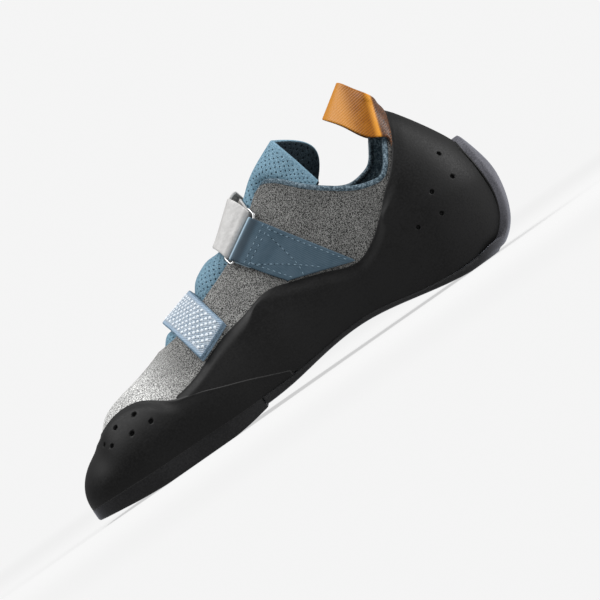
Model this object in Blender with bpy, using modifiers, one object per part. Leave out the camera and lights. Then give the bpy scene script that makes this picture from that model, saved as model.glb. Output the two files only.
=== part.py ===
"""A climbing shoe for the right foot, standing empty on its sole.

The toe points to -X, the inner (medial) side to -Y and the top to +Z, with the
floor at Z = 0. Sizes are in millimetres and become metres where a mesh is made.
Every layer is laid over one surface: the outside of the lasted upper.
"""

import math
from collections import namedtuple

import bmesh
import bpy
import numpy as np

MM = 0.001
MEDIAL, LATERAL = -1.0, 1.0

# Driving dimensions
LENGTH = 260.0
BALL_WIDTH = 88.0
INSTEP_HEIGHT = 110.0

# Walls, sheets and gaps
GAP = 0.3
UPPER_WALL = 1.8
RAND_WALL = 2.0
TONGUE_WALL = 2.4
STRAP_WALL = 1.4
RIBBON_WALL = 1.2
INSOLE_WALL = 2.0
HEEL_STRIP_WALL = 3.0
RAND_SEAT = 0.4
RAND_FACE = RAND_SEAT + RAND_WALL
SOLE_SEAT = RAND_FACE + 2 * GAP
SOLE_LEDGE = 0.6
SOLE_BEVEL = 1.1
SOLE_BEVEL_SHARE = 0.35
SOLE_ROUND = 0.4
INSOLE_ROOM = 0.9
INSOLE_SEAT = 0.1

# Ends of the last
TOE_TIP = -127.4
TOE_ROUND = 45.0
HEEL_ROUND = 35.0
WAIST = 70.0

# One row per section of the last, from toe to heel. along is a share of the
# length, widths are shares of the ball width, crown is a share of the instep
# height, feather is the height of the sole's edge, tuck draws the wall in at
# the sole and fullness rounds the top of the section.
Section = namedtuple("Section", "along feather crown centre medial lateral tuck fullness")
SECTIONS = [
    Section(0.010, 10.0, 0.327, -0.193, 0.341, 0.386, 0.05, 2.3),
    Section(0.050, 9.8, 0.330, -0.166, 0.358, 0.386, 0.05, 2.3),
    Section(0.085, 9.5, 0.351, -0.131, 0.375, 0.386, 0.05, 2.3),
    Section(0.105, 9.4, 0.400, -0.111, 0.386, 0.392, 0.05, 2.3),
    Section(0.130, 9.1, 0.429, -0.089, 0.401, 0.402, 0.05, 2.3),
    Section(0.170, 8.8, 0.444, -0.057, 0.426, 0.423, 0.05, 2.3),
    Section(0.240, 8.7, 0.480, -0.018, 0.475, 0.464, 0.06, 2.4),
    Section(0.320, 8.2, 0.547, 0.002, 0.489, 0.495, 0.08, 2.3),
    Section(0.400, 8.4, 0.627, 0.011, 0.458, 0.500, 0.12, 2.1),
    Section(0.480, 9.3, 0.723, 0.011, 0.411, 0.483, 0.17, 2.0),
    Section(0.540, 10.8, 0.805, 0.011, 0.375, 0.455, 0.20, 2.0),
    Section(0.600, 12.0, 0.891, 0.011, 0.352, 0.423, 0.20, 2.0),
    Section(0.660, 11.6, 0.977, 0.011, 0.341, 0.395, 0.18, 2.0),
    Section(0.720, 8.4, 1.091, 0.011, 0.335, 0.373, 0.14, 2.3),
    Section(0.800, 5.0, 1.409, 0.011, 0.335, 0.347, 0.08, 2.5),
    Section(0.880, 4.2, 2.000, 0.011, 0.335, 0.335, 0.06, 2.5),
    Section(0.980, 4.2, 3.000, 0.011, 0.335, 0.335, 0.06, 2.5),
]
LATERAL_TUCK = 0.6
TUCK_RISE = 0.35
HEEL_SLIM = 0.25
ANKLE_LOW, ANKLE_RISE = 35.0, 55.0
ANKLE_FRONT, ANKLE_RUN = 45.0, 50.0

# Back of the heel in side view
HeelBack = namedtuple("HeelBack", "z x")
HEEL_BACK = [
    HeelBack(4.0, 106.5),
    HeelBack(9.2, 114.0),
    HeelBack(17.0, 119.8),
    HeelBack(28.0, 123.3),
    HeelBack(36.4, 124.1),
    HeelBack(46.0, 122.6),
    HeelBack(58.0, 119.0),
    HeelBack(69.0, 113.6),
    HeelBack(78.0, 108.5),
    HeelBack(90.0, 101.2),
    HeelBack(115.0, 86.0),
]

# Lines drawn on the last in side view: height on each side at x
Edge = namedtuple("Edge", "x medial lateral")
TOP_EDGE = [
    Edge(-60.0, 55.6, 55.6),
    Edge(-47.0, 56.9, 56.9),
    Edge(-25.0, 64.5, 64.5),
    Edge(-8.0, 70.9, 71.2),
    Edge(6.0, 78.4, 79.0),
    Edge(21.0, 89.6, 90.0),
    Edge(29.0, 94.2, 94.4),
    Edge(37.0, 90.8, 91.0),
    Edge(44.0, 83.4, 83.8),
    Edge(56.0, 73.0, 73.6),
    Edge(66.0, 66.2, 68.2),
    Edge(76.0, 62.6, 68.6),
    Edge(84.0, 63.4, 73.0),
    Edge(92.0, 73.2, 84.6),
    Edge(97.0, 82.4, 89.0),
    Edge(101.0, 92.0, 92.0),
]
TOE_RAND_TOP = [
    Edge(-109.0, 36.2, 36.2),
    Edge(-104.0, 38.4, 37.6),
    Edge(-97.0, 41.1, 38.0),
    Edge(-88.0, 42.3, 36.4),
    Edge(-81.0, 41.2, 34.6),
    Edge(-76.0, 38.9, 33.0),
    Edge(-71.0, 35.4, 31.5),
    Edge(-65.0, 30.9, 29.4),
    Edge(-58.0, 28.7, 27.3),
    Edge(-44.0, 24.1, 23.2),
    Edge(-31.0, 19.7, 19.3),
    Edge(-13.0, 12.8, 12.8),
    Edge(-7.0, 10.6, 10.6),
]
WING_TOP = [
    Edge(-64.0, 32.2, 31.0),
    Edge(-51.0, 34.6, 31.8),
    Edge(-41.0, 38.3, 33.0),
    Edge(-26.0, 43.6, 35.5),
    Edge(-11.0, 46.8, 37.5),
    Edge(2.0, 49.7, 38.5),
    Edge(14.0, 46.8, 38.0),
    Edge(35.0, 39.4, 36.2),
    Edge(47.0, 35.7, 35.6),
    Edge(56.0, 38.3, 37.8),
    Edge(63.0, 42.6, 41.8),
    Edge(71.0, 49.3, 48.0),
    Edge(79.0, 56.6, 55.6),
    Edge(86.0, 62.0, 61.4),
    Edge(91.0, 67.6, 67.4),
    Edge(95.0, 73.4, 73.2),
    Edge(99.0, 82.0, 82.0),
    Edge(102.0, 90.4, 90.4),
]
SEAM_START = -63.0
SEAM_END = -7.5
TOE_RAND_END = -11.0
HEEL_FOOT = 112.0
SEAM_GAP = 0.6

# Underside of the sole in side view, flat wherever it would pass the floor
Bottom = namedtuple("Bottom", "x z")
FRONT_BOTTOM = [
    Bottom(-131.0, 4.2),
    Bottom(-116.0, 2.4),
    Bottom(-104.0, 1.0),
    Bottom(-92.0, 0.1),
    Bottom(-70.0, -0.6),
    Bottom(-50.0, 0.0),
    Bottom(-41.0, 0.9),
    Bottom(-29.0, 2.9),
]
REAR_BOTTOM = [
    Bottom(-29.0, 4.0),
    Bottom(-14.0, 4.9),
    Bottom(3.0, 7.3),
    Bottom(18.0, 9.1),
    Bottom(33.0, 9.5),
    Bottom(47.0, 8.0),
    Bottom(60.0, 5.5),
    Bottom(72.0, 3.0),
    Bottom(84.0, 0.8),
    Bottom(92.0, -0.2),
    Bottom(112.0, -0.4),
]
SOLE_STEP = -29.0

# Upper border of the rear sole in side view, from the step to the heel strip's top
Border = namedtuple("Border", "x z")
REAR_SOLE_BORDER = [
    Border(-28.0, 8.3),
    Border(-5.0, 9.3),
    Border(10.0, 10.7),
    Border(26.0, 12.0),
    Border(42.0, 11.5),
    Border(57.0, 8.5),
    Border(70.0, 6.0),
    Border(84.0, 4.5),
    Border(96.0, 4.3),
    Border(104.0, 5.2),
    Border(109.0, 6.8),
    Border(114.0, 10.0),
    Border(118.0, 14.2),
    Border(121.0, 20.0),
    Border(122.8, 27.0),
    Border(123.2, 35.0),
    Border(122.8, 44.0),
    Border(121.8, 52.0),
    Border(121.4, 57.0),
]
HEEL_STRIP_TOP = 59.4
HEEL_STRIP_INNER = 124.0
HEEL_STRIP_START, HEEL_STRIP_RUN = 92.0, 22.0
AREA_MARGIN = 10.0

# Straps, rings and their anchors. reach runs down the side from the ridge,
# positive on the lateral side, and lift is the height over the upper.
WIRE = 1.8
RING_BARS = 6.4
RING_LIFT = 3.0
FOLD = WIRE / 2 + 0.35 + STRAP_WALL / 2
FOLD_FRONT = 1.2
FOLD_BACK = 0.8
FOLD_LEAD = 0.9
RING_CORNER = 1.9
RING_ROOM = 0.8
UPPER_STRAP_X = 7.0
UPPER_STRAP_LEAN = 0.1
UPPER_STRAP_TILT = 0.15
UPPER_STRAP_LEVEL = 20.0
UPPER_STRAP_WIDTH = 29.0
UPPER_RING_WIDTH = 24.0
UPPER_RING_REACH = 19.0
UPPER_STRAP_ROOT = 58.0
UPPER_STRAP_END = 42.0
LOWER_STRAP_X = -36.9
LOWER_STRAP_LEAN = 0.19
LOWER_STRAP_WIDTH = 20.0
LOWER_RING_REACH = 27.0
LOWER_STRAP_ROOT = 40.0
LOWER_STRAP_END = 41.5
LOWER_STRAP_TILT = -0.13
LOWER_STRAP_LEVEL = 16.0
STRAP_DEPTH = 54.0
StrapLift = namedtuple("StrapLift", "reach under over")
UPPER_STRAP_LIFTS = [
    StrapLift(-4.0, 1.3, 5.3),
    StrapLift(0.0, 1.3, 5.5),
    StrapLift(6.0, 1.3, 4.8),
    StrapLift(20.0, 1.2, 3.1),
    StrapLift(60.0, 1.1, 2.9),
]
LOWER_STRAP_LIFTS = [
    StrapLift(-60.0, 1.1, 2.95),
    StrapLift(-20.0, 1.15, 3.0),
    StrapLift(0.0, 1.3, 4.8),
    StrapLift(16.0, 1.2, 3.8),
]
ANCHOR_TUCK, ANCHOR_SETTLE = 0.22, 0.42
ANCHOR_LIFTS = (3.1, 1.2, 1.1)
UPPER_ANCHOR_FOOT = ((14.4, 48.3), (46.8, 37.6))
LOWER_ANCHOR_FOOT = ((-45.0, 34.0), (-21.0, 38.0))

# The tongue: a row for each place along the ridge. lift is the height of its
# middle over the upper, depth how far its sides reach down, lean how far they
# run back as they go down, and flare opens the lateral half of the top.
TongueRow = namedtuple("TongueRow", "ridge_x lift depth lean flare")
TONGUE = [
    TongueRow(-70.0, -3.9, 9.0, 0.40, 0.0),
    TongueRow(-61.0, -3.9, 12.0, 0.40, 0.0),
    TongueRow(-57.0, -3.4, 13.2, 0.40, 0.0),
    TongueRow(-53.0, -1.2, 14.0, 0.40, 0.0),
    TongueRow(-49.5, 0.2, 14.8, 0.40, 0.0),
    TongueRow(-46.0, -1.2, 15.2, 0.41, 0.0),
    TongueRow(-38.0, -1.2, 16.0, 0.42, 0.0),
    TongueRow(-28.2, -1.2, 17.0, 0.45, 0.0),
    TongueRow(-23.5, 1.8, 18.0, 0.48, 0.0),
    TongueRow(-17.0, 2.9, 19.2, 0.50, 0.0),
    TongueRow(-11.5, 2.0, 19.9, 0.52, 0.0),
    TongueRow(-6.5, -0.9, 20.4, 0.53, 0.0),
    TongueRow(2.0, -0.9, 21.2, 0.55, 0.0),
    TongueRow(11.0, -0.9, 22.0, 0.55, 0.0),
    TongueRow(20.0, -0.9, 23.5, 0.55, 0.0),
    TongueRow(26.0, 0.2, 24.5, 0.52, 0.0),
    TongueRow(32.0, 0.4, 26.0, 0.45, 0.0),
    TongueRow(39.0, -0.4, 28.0, 0.35, 5.0),
    TongueRow(46.0, -1.8, 30.0, 0.26, 12.0),
]
TONGUE_HIDDEN = -(UPPER_WALL + TONGUE_WALL / 2 + 3 * GAP)
TONGUE_SWELL = 3.0
FLARE_BIAS = 1.9
SLOT_LIMITS = (0.24, 0.70)
SLOT_SHARES = (0.0, 0.36, 0.66, 0.86)
HIDDEN_SHARES = (0.03, 0.36, 0.68, 1.0)

# The pull loop: a ribbon sewn to both sides of the heel, with a row for each
# place above the collar, up to the crown of the loop.
LoopRow = namedtuple("LoopRow", "front_x front_y front_z back_x back_y back_z")
PULL_LOOP = [
    LoopRow(87.8, 19.8, 84.0, 100.2, 10.4, 98.4),
    LoopRow(81.6, 13.6, 94.2, 95.8, 8.0, 105.8),
    LoopRow(76.6, 6.0, 101.4, 92.0, 3.6, 112.0),
    LoopRow(74.6, 0.0, 103.8, 90.2, 0.0, 114.2),
]
LOOP_FOOT = (94.0, 100.2)
LOOP_FOOT_RISE = 0.9
LOOP_FOOT_LIFT = RIBBON_WALL / 2 + 2 * GAP
LOOP_RIM_RISE = 1.6
LOOP_RIM_LIFT = 2.3

BINDING_RADIUS = 1.4
BINDING_START = 28.0
BINDING_BACK = np.array([-0.5, 0.0, 0.7])
BINDING_ROOM = 2 * BINDING_RADIUS + 0.8
BINDING_LEAD = 6.0

# How finely each piece is divided, and how columns crowd towards a round end
UPPER_COLUMNS, UPPER_ROWS = 30, 9
TOE_RAND_COLUMNS, TOE_RAND_ROWS = 17, 7
WING_COLUMNS, WING_ROWS = 24, 9
SOLE_SECTIONS, INSOLE_SECTIONS = 22, 34
FORM_COLUMNS, FORM_ROWS = 26, 10
FORM_LINE, FORM_FRONT, FORM_BACK, FORM_TOP = 26.0, -38.0, 123.0, 64.0
FORM_TOE_SHARES = (0.0, 0.35, 0.7)
STRAP_STEPS, ANCHOR_STEPS, BORDER_STEPS = 13, 10, 60
LOOP_STEPS, LOOP_ACROSS = 9, 6
TOE_CROWD, HEEL_CROWD, LOW_CROWD = 0.5, 0.58, 1.35
END_TURN = 0.04
HALVINGS, SETTLE_STEPS = 44, 12


def clear_scene():
    for obj in list(bpy.data.objects):
        bpy.data.objects.remove(obj, do_unlink=True)


def spline(xs, ys):
    """Natural cubic curve through the points, held at its ends."""
    xs = np.array(xs, float)
    ys = np.array(ys, float)
    steps = np.diff(xs)
    slopes = np.diff(ys) / steps
    matrix = np.eye(len(xs))
    bends = np.zeros(len(xs))
    for i in range(1, len(xs) - 1):
        matrix[i, i - 1 : i + 2] = steps[i - 1], 2 * (steps[i - 1] + steps[i]), steps[i]
        bends[i] = 6 * (slopes[i] - slopes[i - 1])
    bends = np.linalg.solve(matrix, bends)

    def value(x):
        x = np.clip(np.asarray(x, float), xs[0], xs[-1])
        i = np.clip(np.searchsorted(xs, x) - 1, 0, len(xs) - 2)
        before = x - xs[i]
        after = xs[i + 1] - x
        cubic = (bends[i] * after**3 + bends[i + 1] * before**3) / (6 * steps[i])
        left = (ys[i] / steps[i] - bends[i] * steps[i] / 6) * after
        right = (ys[i + 1] / steps[i] - bends[i + 1] * steps[i] / 6) * before
        return cubic + left + right

    return value


def spline_points(places, points):
    """Smooth curves through rows of points, as a function of place."""
    flat = points.reshape(len(points), -1)
    curves = [spline(places, values) for values in flat.T]
    return lambda at: np.stack([curve(at) for curve in curves], axis=-1).reshape(len(at), -1, 3)


def column(table, name, scale=1.0, key="x"):
    """One column of a table as a smooth function of another."""
    places = [getattr(row, key) for row in table]
    return spline(places, [scale * getattr(row, name) for row in table])


def section_column(name, scale=1.0):
    places = [LENGTH * (row.along - 0.5) for row in SECTIONS]
    return spline(places, [scale * getattr(row, name) for row in SECTIONS])


feather = section_column("feather")
crown = section_column("crown", INSTEP_HEIGHT)
centre = section_column("centre", BALL_WIDTH)
medial_half = section_column("medial", BALL_WIDTH)
lateral_half = section_column("lateral", BALL_WIDTH)
tuck = section_column("tuck")
fullness = section_column("fullness")
heel_back = column(HEEL_BACK, "x", key="z")
front_bottom = column(FRONT_BOTTOM, "z")
rear_bottom = column(REAR_BOTTOM, "z")


def edge_line(table):
    lines = {MEDIAL: column(table, "medial"), LATERAL: column(table, "lateral")}
    return lambda side, x: lines[side](x)


top_edge = edge_line(TOP_EDGE)
toe_rand_top = edge_line(TOE_RAND_TOP)
wing_top = edge_line(WING_TOP)


def smoothstep(value):
    value = np.clip(value, 0.0, 1.0)
    return value * value * (3 - 2 * value)


def eased(places, values):
    """A curve through the points that never swings past them."""
    places = np.array(places, float)
    values = np.array(values, float)

    def value(x):
        x = np.clip(np.asarray(x, float), places[0], places[-1])
        i = np.clip(np.searchsorted(places, x) - 1, 0, len(places) - 2)
        share = smoothstep((x - places[i]) / (places[i + 1] - places[i]))
        return values[i] + (values[i + 1] - values[i]) * share

    return value


def rise(x, z):
    """Height in the section: 0 at the sole's edge, 1 on the ridge."""
    return np.clip((z - feather(x)) / (crown(x) - feather(x)), 0.0, None)


def openness(x, z):
    """1 on a flank far from every end, 0 on the ridge, the toe tip and the heel back."""
    toe = np.clip(1 - (x - TOE_TIP) / TOE_ROUND, 0.0, None)
    heel = np.clip(1 - (heel_back(z) - x) / HEEL_ROUND, 0.0, None)
    return 1 - toe**2 - rise(x, z) ** fullness(x) - heel**2


def half_width(side, x, z):
    half = np.where(side < 0, medial_half(x), lateral_half(x))
    drawn_in = tuck(x) * np.where(side < 0, 1.0, LATERAL_TUCK)
    low = np.clip(1 - rise(x, z) / TUCK_RISE, 0.0, 1.0)
    ankle = smoothstep((z - ANKLE_LOW) / ANKLE_RISE) * smoothstep((x - ANKLE_FRONT) / ANKLE_RUN)
    return half * (1 - drawn_in * low**2) * (1 - HEEL_SLIM * ankle)


def slice_end(z, outside):
    """x where the slice at height z ends, on the toe's or the heel's side."""
    inner = np.full(np.shape(z), WAIST)
    outer = np.full(np.shape(z), float(outside))
    for _ in range(HALVINGS):
        middle = (inner + outer) / 2
        within = openness(middle, z) > 0
        inner = np.where(within, middle, inner)
        outer = np.where(within, outer, middle)
    return inner


def slice_ends(z):
    return slice_end(z, TOE_TIP - 2), slice_end(z, LENGTH / 2)


def turn_of(x, z):
    """Angle round the slice at height z: 0 at the toe, pi at the heel."""
    front, back = slice_ends(z)
    return np.arccos(1 - 2 * np.clip((x - front) / (back - front), 0.0, 1.0))


def on_last(side, turn, z):
    front, back = slice_ends(z)
    x = front + (back - front) * (1 - np.cos(turn)) / 2
    reach = half_width(side, x, z) * np.sqrt(np.clip(openness(x, z), 0.0, None))
    return np.stack([x, centre(x) + side * reach, z + 0 * x], axis=-1)


def outward(side, points):
    """Unit normals of the last at points on it."""

    def field(p):
        x, y, z = p[..., 0], p[..., 1], p[..., 2]
        return ((y - centre(x)) / half_width(side, x, z)) ** 2 - openness(x, z)

    step = 0.05
    slope = [field(points + step * axis) - field(points - step * axis) for axis in np.eye(3)]
    normal = np.stack(slope, axis=-1)
    return normal / np.linalg.norm(normal, axis=-1, keepdims=True)


def level(normals):
    """The same directions laid flat."""
    flat = normals * np.array([1.0, 1.0, 0.0])
    return flat / np.linalg.norm(flat, axis=-1, keepdims=True)


def lengths_along(points):
    return np.concatenate([[0.0], np.cumsum(np.linalg.norm(np.diff(points, axis=0), axis=1))])


def spread(side, xs, zs, count, crowd=0.0):
    """Places (turn, z) along a line drawn on the last, closer together at its round end.

    crowd is 0 for even steps, positive to crowd the last ones and negative the first.
    """
    turn = turn_of(xs, zs)
    run = lengths_along(on_last(side, turn, zs))
    even = np.linspace(0.0, 1.0, count + 1)
    even = even + crowd * even * (1 - even)
    return np.interp(even * run[-1], run, turn), np.interp(even * run[-1], run, zs)


def line_on_last(line, first, last):
    xs = first + (last - first) * (1 - np.cos(np.linspace(0.0, math.pi, 240))) / 2
    return lambda side: (xs, line(side, xs))


def feather_line():
    return line_on_last(lambda side, x: feather(x), TOE_TIP, HEEL_BACK[0].x)


def rand_foot(side, x):
    """Lowest line of the rubber on the last, set so that its outer edge ends at the feather."""
    x = np.asarray(x, float)
    points = on_last(side, turn_of(x, feather(x)), feather(x))
    droop = np.clip(-outward(side, points)[..., 2], 0.0, 1.0)
    return feather(x) + GAP + RAND_FACE * droop


def band(lower, upper, columns, rows, lift, crowd=0.0, crowd_low=1.0):
    """Points of a band of the last between two lines, for each side."""
    share = np.linspace(0.0, 1.0, rows + 1)[:, None] ** crowd_low
    found = {}
    for side in (MEDIAL, LATERAL):
        low_turn, low_z = spread(side, *lower(side), columns, crowd)
        high_turn, high_z = spread(side, *upper(side), columns, crowd)
        turn = low_turn + (high_turn - low_turn) * share
        z = low_z + (high_z - low_z) * share
        points = on_last(side, turn, z)
        found[side] = points + lift * outward(side, points)
    return found


def closed_ring(sides):
    return np.concatenate([sides[MEDIAL], sides[LATERAL][:, -2:0:-1]], axis=1)


def round_heel(sides):
    return np.concatenate([sides[MEDIAL], sides[LATERAL][:, -2::-1]], axis=1)


def round_toe(sides):
    return np.concatenate([sides[LATERAL][:, :0:-1], sides[MEDIAL]], axis=1)


def material(name, colour, roughness, metallic=0.0):
    made = bpy.data.materials.new(name)
    made.use_nodes = True
    shader = made.node_tree.nodes["Principled BSDF"]
    shader.inputs["Base Color"].default_value = (*colour, 1.0)
    shader.inputs["Roughness"].default_value = roughness
    shader.inputs["Metallic"].default_value = metallic
    return made


def add_object(name, data, finish, collection):
    obj = bpy.data.objects.new(name, data)
    if finish:
        data.materials.append(finish)
    collection.objects.link(obj)
    return obj


def mesh_from(name, points, faces):
    mesh = bpy.data.meshes.new(name)
    mesh.from_pydata((np.asarray(points) * MM).tolist(), [], faces)
    mesh.validate()
    return mesh


def grid_faces(rows, columns, closed):
    """Quads of a grid of points, its last column joined to the first if closed."""
    faces = []
    for r in range(rows - 1):
        for c in range(columns if closed else columns - 1):
            after = (c + 1) % columns
            low, high = r * columns, (r + 1) * columns
            faces.append((low + c, low + after, high + after, high + c))
    return faces


def sheet(name, grid, thickness, side_of_grid, finish, collection, closed=False):
    """An open surface given its thickness outwards (1), inwards (-1) or both ways (0)."""
    rows, columns = grid.shape[:2]
    mesh = mesh_from(name, grid.reshape(-1, 3), grid_faces(rows, columns, closed))
    mesh.shade_smooth()
    obj = add_object(name, mesh, finish, collection)
    wall = obj.modifiers.new("Wall", "SOLIDIFY")
    wall.thickness = thickness * MM
    wall.offset = side_of_grid
    wall.use_even_offset = True
    return obj


def loft(name, sections, finish, collection):
    """A solid through closed sections of equal counts, capped at both ends."""
    count = len(sections[0])
    points = np.concatenate(sections)
    faces = grid_faces(len(sections), count, True)
    faces.append(tuple(range(count)))
    faces.append(tuple(range(len(points) - count, len(points))))
    return add_object(name, outward_mesh(mesh_from(name, points, faces)), finish, collection)


def outward_mesh(mesh):
    work = bmesh.new()
    work.from_mesh(mesh)
    bmesh.ops.recalc_face_normals(work, faces=work.faces)
    work.to_mesh(mesh)
    work.free()
    return mesh


def tube(name, points, radius, closed, finish, collection):
    curve = bpy.data.curves.new(name, "CURVE")
    curve.dimensions = "3D"
    curve.bevel_depth = radius * MM
    curve.bevel_resolution = 2
    curve.use_fill_caps = not closed
    line = curve.splines.new("POLY")
    line.points.add(len(points) - 1)
    line.points.foreach_set("co", np.c_[points * MM, np.ones(len(points))].ravel())
    line.use_cyclic_u = closed
    return add_object(name, curve, finish, collection)


class Strip:
    """A strip of the last. reach is measured along it and across is its width."""

    def __init__(self, place, first, last):
        self.place = place
        self.shares = np.linspace(first, last, 600)
        side, x, z = place(self.shares, 0 * self.shares)
        run = lengths_along(on_last(side, turn_of(x, z), z))
        self.run = run - np.interp(0.0, self.shares, run)

    def at(self, reach, across, lift):
        side, x, z = self.place(np.interp(reach, self.run, self.shares), across)
        points = on_last(side, turn_of(x, z), z)
        return points + lift[..., None] * outward(side, points)


def strap_strip(ridge_x, lean):
    """The strip across the ridge at ridge_x, running back by lean as it goes down."""
    along_ridge = math.cos(math.atan(float(crown(ridge_x + 1) - crown(ridge_x - 1)) / 2))

    def place(share, across):
        drop = STRAP_DEPTH * share**2
        start = ridge_x + across * along_ridge
        return np.where(share < 0, MEDIAL, LATERAL), start + lean * drop, crown(start) - drop

    return Strip(place, -1.0, 1.0)


def anchor_strip(side, top, bottom):
    """The strip between a line under a ring and a line above the rubber, in side view."""
    (front_top, back_top), (front_low, back_low) = np.array(top), np.array(bottom)
    lengths = [math.dist(front_top, front_low), math.dist(back_top, back_low)]

    def place(share, across):
        back = (np.asarray(across) + 1) / 2
        stretch = np.mean(lengths) / (lengths[0] + (lengths[1] - lengths[0]) * back)
        # Steps near the fold are equally long in every column, so that the fold stays round.
        share = share * stretch + np.clip(share, 0.0, None) ** 2 * (1 - stretch)
        back, share = back[..., None], share[..., None]
        upper_spot = front_top + (back_top - front_top) * back
        lower_spot = front_low + (back_low - front_low) * back
        spot = upper_spot + (lower_spot - upper_spot) * share
        return np.full(spot.shape[:-1], side), spot[..., 0], spot[..., 1]

    return Strip(place, -0.3, 1.0)


def fold_round(bar, direction):
    """Places (reach, lift) of a fold round a ring's bar, from under it to over it."""
    angles = np.radians(np.linspace(-90, 90, 7))
    return [(bar + direction * FOLD * math.cos(a), RING_LIFT + FOLD * math.sin(a)) for a in angles]


def ribbon(strip, path, half, count, tilt=lambda reach, lift: 0 * reach):
    """Grid of a ribbon laid along a path of (reach, lift) places on a strip, raised by tilt at its back."""
    reach, lift = np.array(path).T
    shares = np.linspace(-1.0, 1.0, count + 1)
    across = half(reach)[:, None] * shares
    raised = lift[:, None] + tilt(reach, lift)[:, None] * across
    return strip.at(reach[:, None] + 0 * across, across, raised)


def run_path(first, last, lifts, steps):
    """Places along one layer, its lift a smooth function of the reach."""
    return [(r, float(lifts(r))) for r in np.linspace(first, last, steps + 1)]


def ring_loop(strip, middle, width):
    """Rounded rectangle of wire lying on a strip round the two bars."""
    half_bars, half_long = RING_BARS / 2, (width + WIRE) / 2 + RING_ROOM
    corner = RING_CORNER
    spots = []
    for quarter, (a, b) in enumerate(((1, 1), (-1, 1), (-1, -1), (1, -1))):
        for angle in np.linspace(0, math.pi / 2, 4) + quarter * math.pi / 2:
            reach = middle + a * (half_bars - corner) + corner * math.cos(angle)
            spots.append((reach, b * (half_long - corner) + corner * math.sin(angle)))
    reach, across = np.array(spots).T
    return strip.at(reach, across, np.full(len(spots), RING_LIFT))


throat_and_collar = line_on_last(top_edge, TOP_EDGE[0].x, TOP_EDGE[-1].x)


def make_upper(finish, collection):
    sides = band(feather_line(), throat_and_collar, UPPER_COLUMNS, UPPER_ROWS, 0.0)
    sheet("upper", closed_ring(sides), UPPER_WALL, -1, finish, collection, closed=True)


def make_toe_rand(finish, collection):
    lower = line_on_last(rand_foot, TOE_TIP, TOE_RAND_END)
    upper = line_on_last(toe_rand_top, TOE_RAND_TOP[0].x, TOE_RAND_END)
    sides = band(lower, upper, TOE_RAND_COLUMNS, TOE_RAND_ROWS, RAND_SEAT, -TOE_CROWD)
    sheet("toe_rand", round_toe(sides), RAND_WALL, 1, finish, collection)


def wing_bottom(side, x):
    seam = toe_rand_top(side, x) + SEAM_GAP
    foot = rand_foot(side, x)
    return np.where(x < SEAM_END, np.maximum(seam, foot), foot)


def make_heel_rand(finish, collection):
    lower = line_on_last(wing_bottom, SEAM_START, HEEL_FOOT)
    upper = line_on_last(wing_top, SEAM_START, WING_TOP[-1].x)
    sides = band(lower, upper, WING_COLUMNS, WING_ROWS, RAND_SEAT, HEEL_CROWD, LOW_CROWD)
    sheet("heel_rand", round_heel(sides), RAND_WALL, 1, finish, collection)


def sole_outline(turns, side):
    """Feather line of the last at these turns, with its level outward directions."""
    z = np.full(len(turns), float(feather(0.0)))
    for _ in range(SETTLE_STEPS):
        z = feather(on_last(side, turns, z)[:, 0])
    points = on_last(side, turns, z)
    return points, level(outward(side, points))


def sole_turns(first_x, last_x, count):
    ends = turn_of(np.array([first_x, last_x]), feather(np.array([first_x, last_x])))
    return np.linspace(max(ends[0], END_TURN), min(ends[1], math.pi - END_TURN), count)


def plate(turns, profile):
    """Sections of a plate across the sole. profile gives (offset, height) at x, top to bottom."""
    edges = []
    for side in (MEDIAL, LATERAL):
        points, flat = sole_outline(turns, side)
        spots = []
        for offset, height in profile(points[:, 0]):
            spot = points + offset * flat
            spot[:, 2] = height
            spots.append(spot)
        edges.append(np.stack(spots, axis=1))
    return [np.concatenate([m, l[::-1]]) for m, l in zip(*edges)]


def make_insole(finish, collection):
    inset = -(UPPER_WALL + INSOLE_ROOM)

    def profile(x):
        base = feather(x) + INSOLE_SEAT
        return [(inset, base + INSOLE_WALL), (inset, base)]

    turns = sole_turns(TOE_TIP, HEEL_BACK[0].x - INSOLE_ROOM, INSOLE_SECTIONS)
    loft("insole", plate(turns, profile), finish, collection)


def make_front_sole(finish, collection):
    face = RAND_FACE + SOLE_LEDGE

    def profile(x):
        top = feather(x) - GAP
        bottom = np.maximum(front_bottom(x), 0.0)
        middle = bottom + SOLE_BEVEL_SHARE * (top - bottom)
        rounded = [(face - SOLE_ROUND, top), (face, top - 2 * SOLE_ROUND)]
        return rounded + [(face, middle), (face - SOLE_BEVEL, bottom)]

    sections = plate(sole_turns(TOE_TIP, SOLE_STEP, SOLE_SECTIONS), profile)
    sections[-1][:, 0] = SOLE_STEP
    loft("outsole_front", sections, finish, collection)


def form(name, offset, foot, collection):
    """A closed cutter or blank: the last grown by offset, standing on its foot rows."""
    sides = {}
    for side in (MEDIAL, LATERAL):
        line = line_on_last(lambda side, x: FORM_LINE + 0 * x, FORM_FRONT, FORM_BACK)
        turns, _ = spread(side, *line(side), FORM_COLUMNS, HEEL_CROWD)
        turns = np.concatenate([turns[0] * np.array(FORM_TOE_SHARES), turns])
        count = len(turns) - 1
        outline, flat = sole_outline(turns, side)
        rows = []
        for spread_out, height in foot(outline[:, 0]):
            row = outline + np.asarray(spread_out)[..., None] * flat
            row[:, 2] = height
            rows.append(row)
        low = rand_foot(side, outline[:, 0])
        for share in np.linspace(0.0, 1.0, FORM_ROWS) ** LOW_CROWD:
            points = on_last(side, turns, low + (FORM_TOP - low) * share)
            grown = offset(points[:, 0])[:, None]
            rows.append(points + grown * outward(side, points))
        sides[side] = np.stack(rows)
    ring = closed_ring(sides)
    rows, columns = ring.shape[:2]
    faces = grid_faces(rows, columns, True)
    for base in (0, (rows - 1) * columns):
        for c in range(count):
            corners = [c, c + 1, columns - c - 1, (columns - c) % columns]
            faces.append(tuple(base + i for i in dict.fromkeys(corners)))
    return add_object(name, outward_mesh(mesh_from(name, ring.reshape(-1, 3), faces)), None, collection)


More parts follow.
